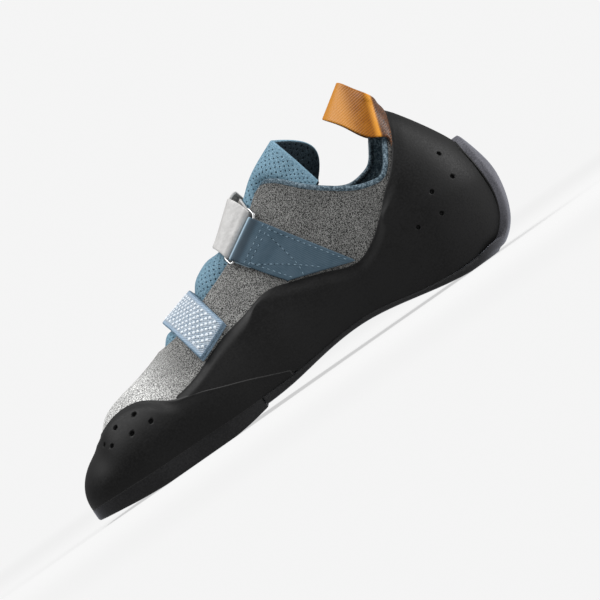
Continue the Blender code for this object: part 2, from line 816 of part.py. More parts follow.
def border_prism(collection):
    """A block across the shoe whose side view is the area of the rear sole."""
    knots = lengths_along(np.array(REAR_SOLE_BORDER))
    even = np.linspace(0.0, knots[-1], BORDER_STEPS)
    xs = spline(knots, [row.x for row in REAR_SOLE_BORDER])(even)
    zs = spline(knots, [row.z for row in REAR_SOLE_BORDER])(even)
    start = SOLE_STEP + GAP
    outline = [(start, -AREA_MARGIN), (start, float(zs[0]))]
    outline += [(float(x), float(z)) for x, z in zip(xs, zs)]
    back = LENGTH / 2 + AREA_MARGIN
    outline += [(HEEL_STRIP_INNER, HEEL_STRIP_TOP), (back, HEEL_STRIP_TOP), (back, -AREA_MARGIN)]
    mesh = bpy.data.meshes.new("rear_sole_area")
    work = bmesh.new()
    near = [work.verts.new((x * MM, -BALL_WIDTH * MM, z * MM)) for x, z in outline]
    area = work.faces.new(near)
    grown = bmesh.ops.extrude_face_region(work, geom=[area])
    far = [item for item in grown["geom"] if isinstance(item, bmesh.types.BMVert)]
    bmesh.ops.translate(work, verts=far, vec=(0.0, 2 * BALL_WIDTH * MM, 0.0))
    bmesh.ops.recalc_face_normals(work, faces=work.faces)
    work.to_mesh(mesh)
    work.free()
    return add_object("rear_sole_area", mesh, None, collection)


def as_cutter(obj):
    obj.hide_render = True
    obj.display_type = "WIRE"
    return obj


def make_rear_sole(finish, collection, cutters):
    def wall(x):
        heel = smoothstep((x - HEEL_STRIP_START) / HEEL_STRIP_RUN)
        return SOLE_SEAT + SOLE_LEDGE + (HEEL_STRIP_WALL - SOLE_LEDGE) * heel

    def outer_foot(x):
        bottom = np.maximum(rear_bottom(x), 0.0)
        face = SOLE_SEAT + SOLE_LEDGE
        return [(face - SOLE_BEVEL - 0 * x, bottom), (face + 0 * x, bottom + SOLE_BEVEL)]

    def inner_foot(x):
        return [(SOLE_SEAT + 0 * x, feather(x) - GAP)]

    sole = form("outsole_rear", wall, outer_foot, collection)
    sole.data.materials.append(finish)
    inside = as_cutter(form("rear_sole_inside", lambda x: SOLE_SEAT + 0 * x, inner_foot, cutters))
    area = as_cutter(border_prism(cutters))
    for name, operation, cutter in (("Area", "INTERSECT", area), ("Inside", "DIFFERENCE", inside)):
        cut = sole.modifiers.new(name, "BOOLEAN")
        cut.operation = operation
        cut.object = cutter
        cut.solver = "EXACT"


def slot_share(ridge, depth, lean):
    """Share of the way down a tongue row at which it passes under the throat's edge."""
    inner = np.zeros(len(ridge))
    outer = np.ones(len(ridge))
    for _ in range(HALVINGS):
        middle = (inner + outer) / 2
        drop = depth * middle**2
        x = ridge + lean * drop
        bound = BINDING_ROOM * smoothstep((x - BINDING_START) / BINDING_LEAD + 1)
        clear = crown(ridge) - drop > top_edge(LATERAL, x) + bound
        inner = np.where(clear, middle, inner)
        outer = np.where(clear, outer, middle)
    return np.clip(inner, *SLOT_LIMITS)


def make_tongue(finish, collection):
    ridge, lift, depth, lean, flare = np.array(TONGUE).T
    slot = slot_share(ridge, depth, lean)[:, None]
    inside = np.array(SLOT_SHARES) * slot
    outside = slot + (1 - slot) * np.array(HIDDEN_SHARES)
    half = np.concatenate([inside, outside], axis=1)
    share = np.concatenate([-half[:, :0:-1], half], axis=1)
    side = np.where(share < 0, MEDIAL, LATERAL)
    drop = depth[:, None] * share**2
    opened = flare[:, None] * np.sin(math.pi * np.clip(share, 0, 1) ** FLARE_BIAS)
    x = ridge[:, None] + lean[:, None] * drop + opened
    z = crown(ridge)[:, None] - drop
    swell = np.clip(1 - np.abs(share / slot) ** TONGUE_SWELL, 0.0, 1.0)
    raised = TONGUE_HIDDEN + (lift[:, None] - TONGUE_HIDDEN) * swell
    points = on_last(side, turn_of(x, z), z)
    grid = points + raised[..., None] * outward(side, points)
    sheet("tongue", grid, TONGUE_WALL, 0, finish, collection)


def make_binding(finish, collection):
    rims = []
    for side in (MEDIAL, LATERAL):
        rim = on_last(side, *spread(side, *throat_and_collar(side), UPPER_COLUMNS))
        rim = rim[rim[:, 0] > BINDING_START]
        normal = outward(side, rim)
        rise_from_edge = np.cross(np.gradient(rim, axis=0), normal) * side
        rise_from_edge /= np.linalg.norm(rise_from_edge, axis=1, keepdims=True)
        rims.append(rim - normal * UPPER_WALL / 2 + rise_from_edge * (BINDING_RADIUS + GAP))
    middle = (rims[0][-1] + rims[1][-1]) / 2 + BINDING_BACK
    points = np.concatenate([rims[0][:-1], [middle], rims[1][-2::-1]])
    tube("collar_binding", points, BINDING_RADIUS, False, finish, collection)


def strap_layers(table, bar):
    """Lift of a strap's lower and upper layer along its reach, from its rows and the ring's bar."""
    rows = sorted(table + [StrapLift(bar, RING_LIFT - FOLD, RING_LIFT + FOLD)])
    reach, under, over = np.array(rows).T
    return eased(reach, under), eased(reach, over)


def make_upper_strap(finishes, collection):
    strip = strap_strip(UPPER_STRAP_X, UPPER_STRAP_LEAN)
    bar = -UPPER_RING_REACH + RING_BARS / 2
    under, over = strap_layers(UPPER_STRAP_LIFTS, bar)
    path = run_path(UPPER_STRAP_ROOT, bar + FOLD_LEAD, under, STRAP_STEPS)
    path += fold_round(bar, -1)
    path += run_path(bar + FOLD_LEAD, UPPER_STRAP_END, over, STRAP_STEPS)

    def half(reach):
        share = smoothstep((reach - bar) / -bar)
        return (UPPER_RING_WIDTH + (UPPER_STRAP_WIDTH - UPPER_RING_WIDTH) * share) / 2

    def tilt(reach, lift):
        outer_layer = lift > RING_LIFT
        risen = smoothstep((reach - bar) / -bar)
        level_again = smoothstep(2 * (1 - reach / UPPER_STRAP_LEVEL))
        return UPPER_STRAP_TILT * outer_layer * risen * level_again

    grid = ribbon(strip, path, half, 3, tilt)
    sheet("upper_strap", grid, STRAP_WALL, 0, finishes["strap"], collection)
    wire = ring_loop(strip, -UPPER_RING_REACH, UPPER_RING_WIDTH)
    tube("upper_ring", wire, WIRE / 2, True, finishes["wire"], collection)

    far_bar = -UPPER_RING_REACH - RING_BARS / 2
    ends = np.array([FOLD_FRONT - UPPER_RING_WIDTH / 2, UPPER_RING_WIDTH / 2 - FOLD_BACK])
    top = strip.at(np.full(2, far_bar), ends, np.zeros(2))[:, [0, 2]]
    make_anchor("upper_anchor", MEDIAL, top, UPPER_ANCHOR_FOOT, finishes, collection)


def make_anchor(name, side, top, bottom, finishes, collection):
    """A sewn patch folded over the lower bar of a ring."""
    strip = anchor_strip(side, top, bottom)
    length = strip.run[-1]
    tucked, settled = ANCHOR_TUCK * length, ANCHOR_SETTLE * length
    over = eased([0.0, tucked, settled, length], [RING_LIFT + FOLD, *ANCHOR_LIFTS])
    path = run_path(tucked, FOLD_LEAD, lambda reach: RING_LIFT - FOLD, 2)
    path += fold_round(0.0, -1)
    path += run_path(FOLD_LEAD, length, over, ANCHOR_STEPS)
    grid = ribbon(strip, path, lambda reach: np.ones(len(reach)), 3)
    sheet(name, grid, STRAP_WALL, 0, finishes["anchor"], collection)


def make_lower_strap(finishes, collection):
    strip = strap_strip(LOWER_STRAP_X, LOWER_STRAP_LEAN)
    bar = LOWER_RING_REACH - RING_BARS / 2
    under, over = strap_layers(LOWER_STRAP_LIFTS, bar)
    path = run_path(-LOWER_STRAP_ROOT, bar - FOLD_LEAD, under, STRAP_STEPS)
    path += fold_round(bar, 1)
    path += run_path(bar - FOLD_LEAD, -LOWER_STRAP_END, over, STRAP_STEPS)

    def half(reach):
        return np.full(len(reach), LOWER_STRAP_WIDTH / 2)

    def tilt(reach, lift):
        outer_layer = lift > (under(0.0) + over(0.0)) / 2
        near_ridge = smoothstep(2 * (1 - np.abs(reach) / LOWER_STRAP_LEVEL))
        return LOWER_STRAP_TILT * outer_layer * near_ridge

    grid = ribbon(strip, path, half, 3, tilt)
    sheet("lower_strap", grid, STRAP_WALL, 0, finishes["woven"], collection)
    wire = ring_loop(strip, LOWER_RING_REACH, LOWER_STRAP_WIDTH)
    tube("lower_ring", wire, WIRE / 2, True, finishes["wire"], collection)

    far_bar = LOWER_RING_REACH + RING_BARS / 2
    ends = np.array([FOLD_FRONT - LOWER_STRAP_WIDTH / 2, LOWER_STRAP_WIDTH / 2 - FOLD_BACK])
    top = strip.at(np.full(2, far_bar), ends, np.zeros(2))[:, [0, 2]]
    make_anchor("lower_anchor", LATERAL, top, LOWER_ANCHOR_FOOT, finishes, collection)


def make_pull_loop(finish, collection):
    share = np.linspace(0.0, 1.0, LOOP_ACROSS)
    foot_x = LOOP_FOOT[0] + (LOOP_FOOT[1] - LOOP_FOOT[0]) * share
    legs = []
    for side in (MEDIAL, LATERAL):
        rows = []
        foot = (wing_top(side, foot_x) + LOOP_FOOT_RISE, LOOP_FOOT_LIFT)
        rim = (top_edge(MEDIAL, foot_x) + LOOP_RIM_RISE, LOOP_RIM_LIFT)
        for z, lift in (foot, rim):
            points = on_last(side, turn_of(foot_x, z), z)
            rows.append(points + lift * outward(side, points))
        for row in PULL_LOOP:
            front, back = np.array(row[:3]), np.array(row[3:])
            spots = front + (back - front) * share[:, None]
            rows.append(spots * (1, side, 1) + (0, centre(foot_x[0]), 0))
        run = np.arange(len(rows))
        legs.append(spline_points(run, np.stack(rows))(np.linspace(0, run[-1], LOOP_STEPS)))
    grid = np.concatenate([legs[0], legs[1][-2::-1]])
    sheet("pull_loop", grid, RIBBON_WALL, 0, finish, collection)


def main():
    clear_scene()
    shoe = bpy.data.collections.new("climbing_shoe")
    cutters = bpy.data.collections.new("climbing_shoe_cutters")
    for collection in (shoe, cutters):
        bpy.context.scene.collection.children.link(collection)
    finishes = {
        "suede": material("grey_suede", (0.27, 0.27, 0.28), 0.95),
        "mesh": material("blue_mesh", (0.08, 0.19, 0.28), 0.85),
        "board": material("insole_board", (0.16, 0.20, 0.24), 0.9),
        "rubber": material("black_rubber", (0.012, 0.012, 0.014), 0.55),
        "sole": material("sole_rubber", (0.02, 0.021, 0.026), 0.5),
        "strap": material("grey_strap", (0.55, 0.55, 0.54), 0.5),
        "woven": material("woven_strap", (0.30, 0.42, 0.55), 0.8),
        "anchor": material("blue_anchor", (0.10, 0.19, 0.27), 0.75),
        "wire": material("steel_wire", (0.6, 0.6, 0.62), 0.25, 1.0),
        "ribbon": material("orange_ribbon", (0.72, 0.27, 0.03), 0.45),
    }
    make_front_sole(finishes["sole"], shoe)
    make_rear_sole(finishes["sole"], shoe, cutters)
    make_insole(finishes["board"], shoe)
    make_upper(finishes["suede"], shoe)
    make_tongue(finishes["mesh"], shoe)
    make_toe_rand(finishes["rubber"], shoe)
    make_heel_rand(finishes["rubber"], shoe)
    make_binding(finishes["mesh"], shoe)
    make_upper_strap(finishes, shoe)
    make_lower_strap(finishes, shoe)
    make_pull_loop(finishes["ribbon"], shoe)


main()
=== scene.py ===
# %% [markdown]
# # A climbing shoe for the right foot
# The shoe stands empty on its sole. A maker pulls one upper over a last, wraps it in
# rubber and closes it with two straps. This lesson dresses the plain solids of the
# frame one after the other: rubber first, then suede, tongue, collar, straps and loop.

# %% Load the frame
import math
from collections import namedtuple

import bmesh
import bpy
import numpy as np
from mathutils import Matrix, Vector


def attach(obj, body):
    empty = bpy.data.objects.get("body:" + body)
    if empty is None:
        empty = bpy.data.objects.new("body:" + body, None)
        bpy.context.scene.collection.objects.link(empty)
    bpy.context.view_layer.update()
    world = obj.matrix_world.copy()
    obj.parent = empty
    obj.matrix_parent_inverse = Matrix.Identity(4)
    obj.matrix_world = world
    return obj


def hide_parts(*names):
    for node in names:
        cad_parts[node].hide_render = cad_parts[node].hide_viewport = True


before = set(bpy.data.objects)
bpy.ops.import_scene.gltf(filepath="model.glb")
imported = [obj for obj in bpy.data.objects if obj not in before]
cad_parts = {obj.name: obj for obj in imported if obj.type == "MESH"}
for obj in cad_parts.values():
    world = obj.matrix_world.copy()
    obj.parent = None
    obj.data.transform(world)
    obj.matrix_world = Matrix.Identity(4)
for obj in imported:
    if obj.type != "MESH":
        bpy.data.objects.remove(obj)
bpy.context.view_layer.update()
print("solids in the frame:", len(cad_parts))

# %% [markdown]
# ## The last
# Every layer of a shoe follows the wooden or plastic last inside it. Instead of
# sculpting each layer by eye, the last is written once as a rule: a few sections
# along the foot, blended by smooth curves. A point on it is named by its side, by a
# turn round the slice (0 at the toe, pi at the heel) and by its height.

# %% Sections of the last
MM = 0.001
MEDIAL, LATERAL = -1.0, 1.0
LENGTH, BALL_WIDTH, INSTEP_HEIGHT = 260.0, 88.0, 110.0
TOE_TIP, TOE_ROUND, HEEL_ROUND, WAIST = -127.4, 45.0, 35.0, 70.0
LATERAL_TUCK, TUCK_RISE, HEEL_SLIM = 0.6, 0.35, 0.25
ANKLE_LOW, ANKLE_RISE, ANKLE_FRONT, ANKLE_RUN = 35.0, 55.0, 45.0, 50.0


def table(columns, *rows):
    """Rows whose columns have names."""
    Row = namedtuple("Row", columns)
    return [Row(*row) for row in rows]


SECTIONS = table(
    "along feather crown centre medial lateral tuck fullness",
    (0.010, 10.0, 0.327, -0.193, 0.341, 0.386, 0.05, 2.3),
    (0.050, 9.8, 0.330, -0.166, 0.358, 0.386, 0.05, 2.3),
    (0.085, 9.5, 0.351, -0.131, 0.375, 0.386, 0.05, 2.3),
    (0.105, 9.4, 0.400, -0.111, 0.386, 0.392, 0.05, 2.3),
    (0.130, 9.1, 0.429, -0.089, 0.401, 0.402, 0.05, 2.3),
    (0.170, 8.8, 0.444, -0.057, 0.426, 0.423, 0.05, 2.3),
    (0.240, 8.7, 0.480, -0.018, 0.475, 0.464, 0.06, 2.4),
    (0.320, 8.2, 0.547, 0.002, 0.489, 0.495, 0.08, 2.3),
    (0.400, 8.4, 0.627, 0.011, 0.458, 0.500, 0.12, 2.1),
    (0.480, 9.3, 0.723, 0.011, 0.411, 0.483, 0.17, 2.0),
    (0.540, 10.8, 0.805, 0.011, 0.375, 0.455, 0.20, 2.0),
    (0.600, 12.0, 0.891, 0.011, 0.352, 0.423, 0.20, 2.0),
    (0.660, 11.6, 0.977, 0.011, 0.341, 0.395, 0.18, 2.0),
    (0.720, 8.4, 1.091, 0.011, 0.335, 0.373, 0.14, 2.3),
    (0.800, 5.0, 1.409, 0.011, 0.335, 0.347, 0.08, 2.5),
    (0.880, 4.2, 2.000, 0.011, 0.335, 0.335, 0.06, 2.5),
    (0.980, 4.2, 3.000, 0.011, 0.335, 0.335, 0.06, 2.5),
)
HEEL_BACK = table(
    "z x",
    (4.0, 106.5), (9.2, 114.0), (17.0, 119.8), (28.0, 123.3), (36.4, 124.1), (46.0, 122.6),
    (58.0, 119.0), (69.0, 113.6), (78.0, 108.5), (90.0, 101.2), (115.0, 86.0),
)
print("sections:", len(SECTIONS))

# %% [markdown]
# The columns of the tables become smooth curves along the foot, so a handful of
# measured rows describes the whole form.

# %% Curves through the tables
def spline(xs, ys):
    """Natural cubic curve through the points, held at its ends."""
    xs = np.array(xs, float)
    ys = np.array(ys, float)
    steps = np.diff(xs)
    slopes = np.diff(ys) / steps
    matrix = np.eye(len(xs))
    bends = np.zeros(len(xs))
    for i in range(1, len(xs) - 1):
        matrix[i, i - 1 : i + 2] = steps[i - 1], 2 * (steps[i - 1] + steps[i]), steps[i]
        bends[i] = 6 * (slopes[i] - slopes[i - 1])
    bends = np.linalg.solve(matrix, bends)

    def value(x):
        x = np.clip(np.asarray(x, float), xs[0], xs[-1])
        i = np.clip(np.searchsorted(xs, x) - 1, 0, len(xs) - 2)
        before = x - xs[i]
        after = xs[i + 1] - x
        cubic = (bends[i] * after**3 + bends[i + 1] * before**3) / (6 * steps[i])
        left = (ys[i] / steps[i] - bends[i] * steps[i] / 6) * after
        right = (ys[i + 1] / steps[i] - bends[i + 1] * steps[i] / 6) * before
        return cubic + left + right

    return value


def column(rows, name, key="x"):
    """One column of a table as a smooth function of another."""
    places = [getattr(row, key) for row in rows]
    return spline(places, [getattr(row, name) for row in rows])


def section_column(name, scale=1.0):
    places = [LENGTH * (row.along - 0.5) for row in SECTIONS]
    return spline(places, [scale * getattr(row, name) for row in SECTIONS])


feather = section_column("feather")
crown = section_column("crown", INSTEP_HEIGHT)
centre = section_column("centre", BALL_WIDTH)
medial_half = section_column("medial", BALL_WIDTH)
lateral_half = section_column("lateral", BALL_WIDTH)
tuck = section_column("tuck")
fullness = section_column("fullness")
heel_back = column(HEEL_BACK, "x", key="z")


def edge_line(rows):
    lines = {MEDIAL: column(rows, "medial"), LATERAL: column(rows, "lateral")}
    return lambda side, x: lines[side](x)


print("crown at the instep:", round(float(crown(20.0)), 1), "mm")

# %% [markdown]
# A slice of the last at one height is a closed oval. These functions find its ends, a
# point on it and the direction that faces out there.

# %% Points on the last
def smoothstep(value):
    value = np.clip(value, 0.0, 1.0)
    return value * value * (3 - 2 * value)


def eased(places, values):
    """A curve through the points that never swings past them."""
    places = np.array(places, float)
    values = np.array(values, float)

    def value(x):
        x = np.clip(np.asarray(x, float), places[0], places[-1])
        i = np.clip(np.searchsorted(places, x) - 1, 0, len(places) - 2)
        share = smoothstep((x - places[i]) / (places[i + 1] - places[i]))
        return values[i] + (values[i + 1] - values[i]) * share

    return value


def rise(x, z):
    """Height in the section: 0 at the sole's edge, 1 on the ridge."""
    return np.clip((z - feather(x)) / (crown(x) - feather(x)), 0.0, None)


def openness(x, z):
    """1 on a flank far from every end, 0 on the ridge, the toe tip and the heel back."""
    toe = np.clip(1 - (x - TOE_TIP) / TOE_ROUND, 0.0, None)
    heel = np.clip(1 - (heel_back(z) - x) / HEEL_ROUND, 0.0, None)
    return 1 - toe**2 - rise(x, z) ** fullness(x) - heel**2


def half_width(side, x, z):
    half = np.where(side < 0, medial_half(x), lateral_half(x))
    drawn_in = tuck(x) * np.where(side < 0, 1.0, LATERAL_TUCK)
    low = np.clip(1 - rise(x, z) / TUCK_RISE, 0.0, 1.0)
    ankle = smoothstep((z - ANKLE_LOW) / ANKLE_RISE) * smoothstep((x - ANKLE_FRONT) / ANKLE_RUN)
    return half * (1 - drawn_in * low**2) * (1 - HEEL_SLIM * ankle)


def slice_end(z, outside):
    """x where the slice at height z ends, on the toe's or the heel's side."""
    inner = np.full(np.shape(z), WAIST)
    outer = np.full(np.shape(z), float(outside))
    for _ in range(44):
        middle = (inner + outer) / 2
        within = openness(middle, z) > 0
        inner = np.where(within, middle, inner)
        outer = np.where(within, outer, middle)
    return inner


def slice_ends(z):
    return slice_end(z, TOE_TIP - 2), slice_end(z, LENGTH / 2)


def turn_of(x, z):
    """Angle round the slice at height z: 0 at the toe, pi at the heel."""
    front, back = slice_ends(z)
    return np.arccos(1 - 2 * np.clip((x - front) / (back - front), 0.0, 1.0))


def on_last(side, turn, z):
    front, back = slice_ends(z)
    x = front + (back - front) * (1 - np.cos(turn)) / 2
    reach = half_width(side, x, z) * np.sqrt(np.clip(openness(x, z), 0.0, None))
    return np.stack([x, centre(x) + side * reach, z + 0 * x], axis=-1)


def outward(side, points):
    """Unit normals of the last at points on it."""

    def field(p):
        x, y, z = p[..., 0], p[..., 1], p[..., 2]
        return ((y - centre(x)) / half_width(side, x, z)) ** 2 - openness(x, z)

    step = 0.05
    slope = [field(points + step * axis) - field(points - step * axis) for axis in np.eye(3)]
    normal = np.stack(slope, axis=-1)
    return normal / np.linalg.norm(normal, axis=-1, keepdims=True)


def level(normals):
    """The same directions laid flat."""
    flat = normals * np.array([1.0, 1.0, 0.0])
    return flat / np.linalg.norm(flat, axis=-1, keepdims=True)


print("toe and heel at the feather line:", slice_ends(np.array([9.0])))

# %% [markdown]
# Lines drawn on the last are walked in even or crowded steps. Two of them span a band of
# points, on both sides of the foot, each with the direction that faces out there.

# %% Lines and bands on the last
def lengths_along(points):
    return np.concatenate([[0.0], np.cumsum(np.linalg.norm(np.diff(points, axis=0), axis=1))])


def spread(side, xs, zs, count, crowd=0.0):
    """Places (turn, z) along a line drawn on the last.

    crowd is 0 for even steps, positive to crowd the last ones and negative the first.
    """
    turn = turn_of(xs, zs)
    run = lengths_along(on_last(side, turn, zs))
    even = np.linspace(0.0, 1.0, count + 1)
    even = even + crowd * even * (1 - even)
    return np.interp(even * run[-1], run, turn), np.interp(even * run[-1], run, zs)


def line_on_last(line, first, last):
    xs = first + (last - first) * (1 - np.cos(np.linspace(0.0, math.pi, 240))) / 2
    return lambda side: (xs, line(side, xs))


def band(lower, upper, columns, rows, crowd=0.0, crowd_low=1.0):
    """Points and normals of a band of the last between two lines, for each side."""
    share = np.linspace(0.0, 1.0, rows + 1)[:, None] ** crowd_low
    found = {}
    for side in (MEDIAL, LATERAL):
        low_turn, low_z = spread(side, *lower(side), columns, crowd)
        high_turn, high_z = spread(side, *upper(side), columns, crowd)
        turn = low_turn + (high_turn - low_turn) * share
        z = low_z + (high_z - low_z) * share
        points = on_last(side, turn, z)
        found[side] = np.concatenate([points, outward(side, points)], axis=-1)
    return found


def closed_ring(sides):
    return np.concatenate([sides[MEDIAL], sides[LATERAL][:, -2:0:-1]], axis=1)


def round_heel(sides):
    return np.concatenate([sides[MEDIAL], sides[LATERAL][:, -2::-1]], axis=1)


def round_toe(sides):
    return np.concatenate([sides[LATERAL][:, :0:-1], sides[MEDIAL]], axis=1)


print("bands can be laid on the last")

# %% [markdown]
# ## Sheets
# Rubber, suede, webbing and ribbon are all cut from flat stock, so each has two faces
# and a cut edge. One helper gives a grid of points a thickness and a rounded edge,
# because a knife-sharp rim is what makes a model look like paper.

# %% Meshes from grids
def unit(vectors):
    return vectors / np.maximum(np.linalg.norm(vectors, axis=-1, keepdims=True), 1e-9)


def grid_normals(grid):
    return unit(np.cross(np.gradient(grid, axis=1), np.gradient(grid, axis=0)))


def run_lengths(grid, axis):
    """Distance walked along one direction of a grid, in millimetres."""
    steps = np.linalg.norm(np.diff(grid, axis=axis), axis=-1)
    start = np.zeros_like(np.take(steps, [0], axis=axis))
    return np.cumsum(np.concatenate([start, steps], axis=axis), axis=axis)


def grid_quads(index, closed):
    """Quads over a grid of point numbers, its last column joined to the first if closed."""
    if closed:
        index = np.concatenate([index, index[:, :1]], axis=1)
    corners = [index[:-1, :-1], index[:-1, 1:], index[1:, 1:], index[1:, :-1]]
    return np.stack(corners, axis=-1).reshape(-1, 4)


def make_mesh(name, points, faces, finishes, uv=None, marks=None):
    mesh = bpy.data.meshes.new(name)
    mesh.from_pydata((np.asarray(points) * MM).tolist(), [], [tuple(face) for face in faces])
    for finish in finishes:
        mesh.materials.append(finish)
    if marks is not None:
        mesh.polygons.foreach_set("material_index", np.minimum(marks, len(finishes) - 1))
    if uv is not None:
        corners = np.empty(len(mesh.loops), np.int32)
        mesh.loops.foreach_get("vertex_index", corners)
        mesh.uv_layers.new(name="UVMap").data.foreach_set("uv", (uv * MM)[corners].ravel())
    work = bmesh.new()
    work.from_mesh(mesh)
    bmesh.ops.recalc_face_normals(work, faces=work.faces)
    work.to_mesh(mesh)
    work.free()
    mesh.shade_smooth()
    return mesh


print("grids can become meshes")

# %% [markdown]
# A sheet has an outer face, an inner face and, between them, a few rows of points that
# round its edge.

# %% Thickness of a sheet
def thick_sheet(name, grid, normals, top, bottom, finishes, closed=False, uv=None, rim=4):
    """A piece from bottom to top along the normals of a grid, with a rounded edge.

    finishes are the materials of its outer face, its inner face and its edge, and uv is
    in millimetres.
    """
    count = grid[..., 0].size
    if uv is None:
        uv = np.stack([run_lengths(grid, 1), run_lengths(grid, 0)], axis=-1)
    depths = [np.broadcast_to(at, grid.shape[:2])[..., None] for at in (top, bottom)]
    outer, inner = ((grid + depth * normals).reshape(-1, 3) for depth in depths)
    index = np.arange(count).reshape(grid.shape[:2])
    quads = grid_quads(index, closed)
    points, places = [outer, inner], [uv.reshape(-1, 2)] * 2
    faces = [quads, quads[:, ::-1] + count]
    marks = [np.zeros(len(quads)), np.ones(len(quads))]

    away = np.zeros_like(grid)
    away[0] += unit(grid[0] - grid[1])
    away[-1] += unit(grid[-1] - grid[-2])
    loops = [index[0], index[-1]]
    if not closed:
        away[:, 0] += unit(grid[:, 0] - grid[:, 1])
        away[:, -1] += unit(grid[:, -1] - grid[:, -2])
        round_it = [index[0, :-1], index[:-1, -1], index[-1, :0:-1], index[:0:-1, 0]]
        loops = [np.concatenate(round_it)]
    away = unit(away).reshape(-1, 3)
    start = 2 * count
    for loop in loops:
        middle, half = (outer[loop] + inner[loop]) / 2, (outer[loop] - inner[loop]) / 2
        reach = np.linalg.norm(half, axis=1, keepdims=True) * away[loop]
        angles = np.pi * np.arange(1, rim + 1) / (rim + 1)
        points += [middle + half * math.cos(a) + reach * math.sin(a) for a in angles]
        places += [uv.reshape(-1, 2)[loop]] * rim
        rings = start + np.arange(rim * len(loop)).reshape(rim, -1)
        edge = grid_quads(np.concatenate([[loop], rings, [loop + count]]), True)
        faces.append(edge)
        marks.append(np.full(len(edge), 2))
        start += rim * len(loop)
    return make_mesh(
        name, np.concatenate(points), np.concatenate(faces).tolist(), finishes,
        np.concatenate(places), np.concatenate(marks).astype(np.int32),
    )


print("sheets have a thickness")

# %% [markdown]
# A finished piece rides on the shoe and stands for the solids it replaces. Helpers only
# lend their shape or their modifiers, and are removed again. Wire and rolled edges are
# round bars along a line.

# %% Pieces, helpers and bars
def new_object(name, data):
    """A new object in the scene. Helpers among them are used up by baked."""
    obj = bpy.data.objects.new(name, data)
    bpy.context.scene.collection.objects.link(obj)
    return obj


def show(name, mesh, slot, *nodes):
    """Adds a finished piece that rides on the shoe and stands for these solids of the frame."""
    obj = new_object(name, mesh)
    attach(obj, "root")
    if nodes:
        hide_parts(*nodes)
    print(f"{name}: {len(mesh.polygons)} faces")
    return obj


def combine(obj, operation, other):
    """Cuts a helper with another one, or joins them."""
    cut = obj.modifiers.new(operation, "BOOLEAN")
    cut.operation, cut.object, cut.solver = operation, other, "EXACT"


def baked(obj, *others):
    """The plain mesh of a helper with its modifiers worked out. The helpers are removed."""
    bpy.context.view_layer.update()
    graph = bpy.context.evaluated_depsgraph_get()
    mesh = bpy.data.meshes.new_from_object(obj.evaluated_get(graph), depsgraph=graph)
    for used in (obj, *others):
        bpy.data.objects.remove(used)
    return mesh


def finished(mesh, finish):
    """The mesh in one material, shaded smooth."""
    mesh.materials.clear()
    mesh.materials.append(finish)
    mesh.shade_smooth()
    return mesh


def tube(name, points, radii, closed, finish):
    """A round bar along points, in millimetres."""
    curve = bpy.data.curves.new(name, "CURVE")
    curve.dimensions = "3D"
    curve.bevel_depth = MM
    curve.bevel_resolution = 3
    curve.use_fill_caps = not closed
    line = curve.splines.new("POLY")
    line.points.add(len(points) - 1)
    line.points.foreach_set("co", np.c_[points * MM, np.ones(len(points))].ravel())
    line.points.foreach_set("radius", np.broadcast_to(radii, len(points)).astype(np.float32))
    line.use_cyclic_u = closed
    line.use_smooth = True
    return finished(baked(new_object(name, curve)), finish)


print("helpers ready")

# %% [markdown]
# ## Finishes
# Each material is procedural. Effects that several finishes share are written once as
# node groups with named inputs, and they only hand colours, masks and heights to the
# shader of the material that uses them. Most finishes are read in object space. The weave
# of the blue strap and of the patches is read along their own threads.

# %% Node helpers
def feed(tree, socket, value):
    """Gives an input a constant or links it to another node's socket."""
    if isinstance(value, bpy.types.NodeSocket):
        tree.links.new(value, socket)
    else:
        socket.default_value = value


def put(tree, kind, inputs=None, **settings):
    """Adds a node, sets its properties and feeds its inputs."""
    made = tree.nodes.new(kind)
    for key, value in settings.items():
        setattr(made, key, value)
    for key, value in (inputs or {}).items():
        feed(tree, made.inputs[key], value)
    return made


def maths(tree, operation, *values):
    return put(tree, "ShaderNodeMath", dict(enumerate(values)), operation=operation).outputs[0]


def ramp(tree, value, low, high, first=0.0, last=1.0):
    """value taken from low to high, eased, to first to last."""
    inputs = {"Value": value, "From Min": low, "From Max": high, "To Min": first, "To Max": last}
    return put(tree, "ShaderNodeMapRange", inputs, interpolation_type="SMOOTHSTEP").outputs[0]


def blend(tree, share, first, second):
    """A colour between two others."""
    inputs = {"Factor": share, 6: first, 7: second}
    return put(tree, "ShaderNodeMix", inputs, data_type="RGBA").outputs[2]


def new_tree(kind, name, inputs, outputs):
    """A new node tree, the outputs of its first node and the inputs of its last.

    Each socket is given by its type, or, if it is a number, by its default.
    """
    tree = bpy.data.node_groups.new(name, kind)
    for way, sockets in (("INPUT", inputs), ("OUTPUT", outputs)):
        for key, value in sockets.items():
            sort = value if isinstance(value, str) else "Float"
            made = tree.interface.new_socket(key, in_out=way, socket_type="NodeSocket" + sort)
            if sort != value:
                made.default_value = value
    return tree, put(tree, "NodeGroupInput").outputs, put(tree, "NodeGroupOutput").inputs


def grey(level, blue=1.0):
    return (level, level, level * blue, 1.0)


print("node helpers ready")

# %% [markdown]
# Three effects are shared: flecks of fibre for suede and cloth, the slanted ribs of a
# twill, and the slightly uneven skin of moulded rubber.

# %% Shared effects
def mask_group(name, inputs, *outputs):
    """A shader group that reads a Vector and float inputs and gives masks."""
    masks = dict.fromkeys(outputs, "Float")
    return new_tree("ShaderNodeTree", name, {"Vector": "Vector", **inputs}, masks)


def noise(tree, vector, scale, detail, roughness=0.5):
    inputs = {"Vector": vector, "Scale": scale, "Detail": detail, "Roughness": roughness}
    return put(tree, "ShaderNodeTexNoise", inputs).outputs[0]


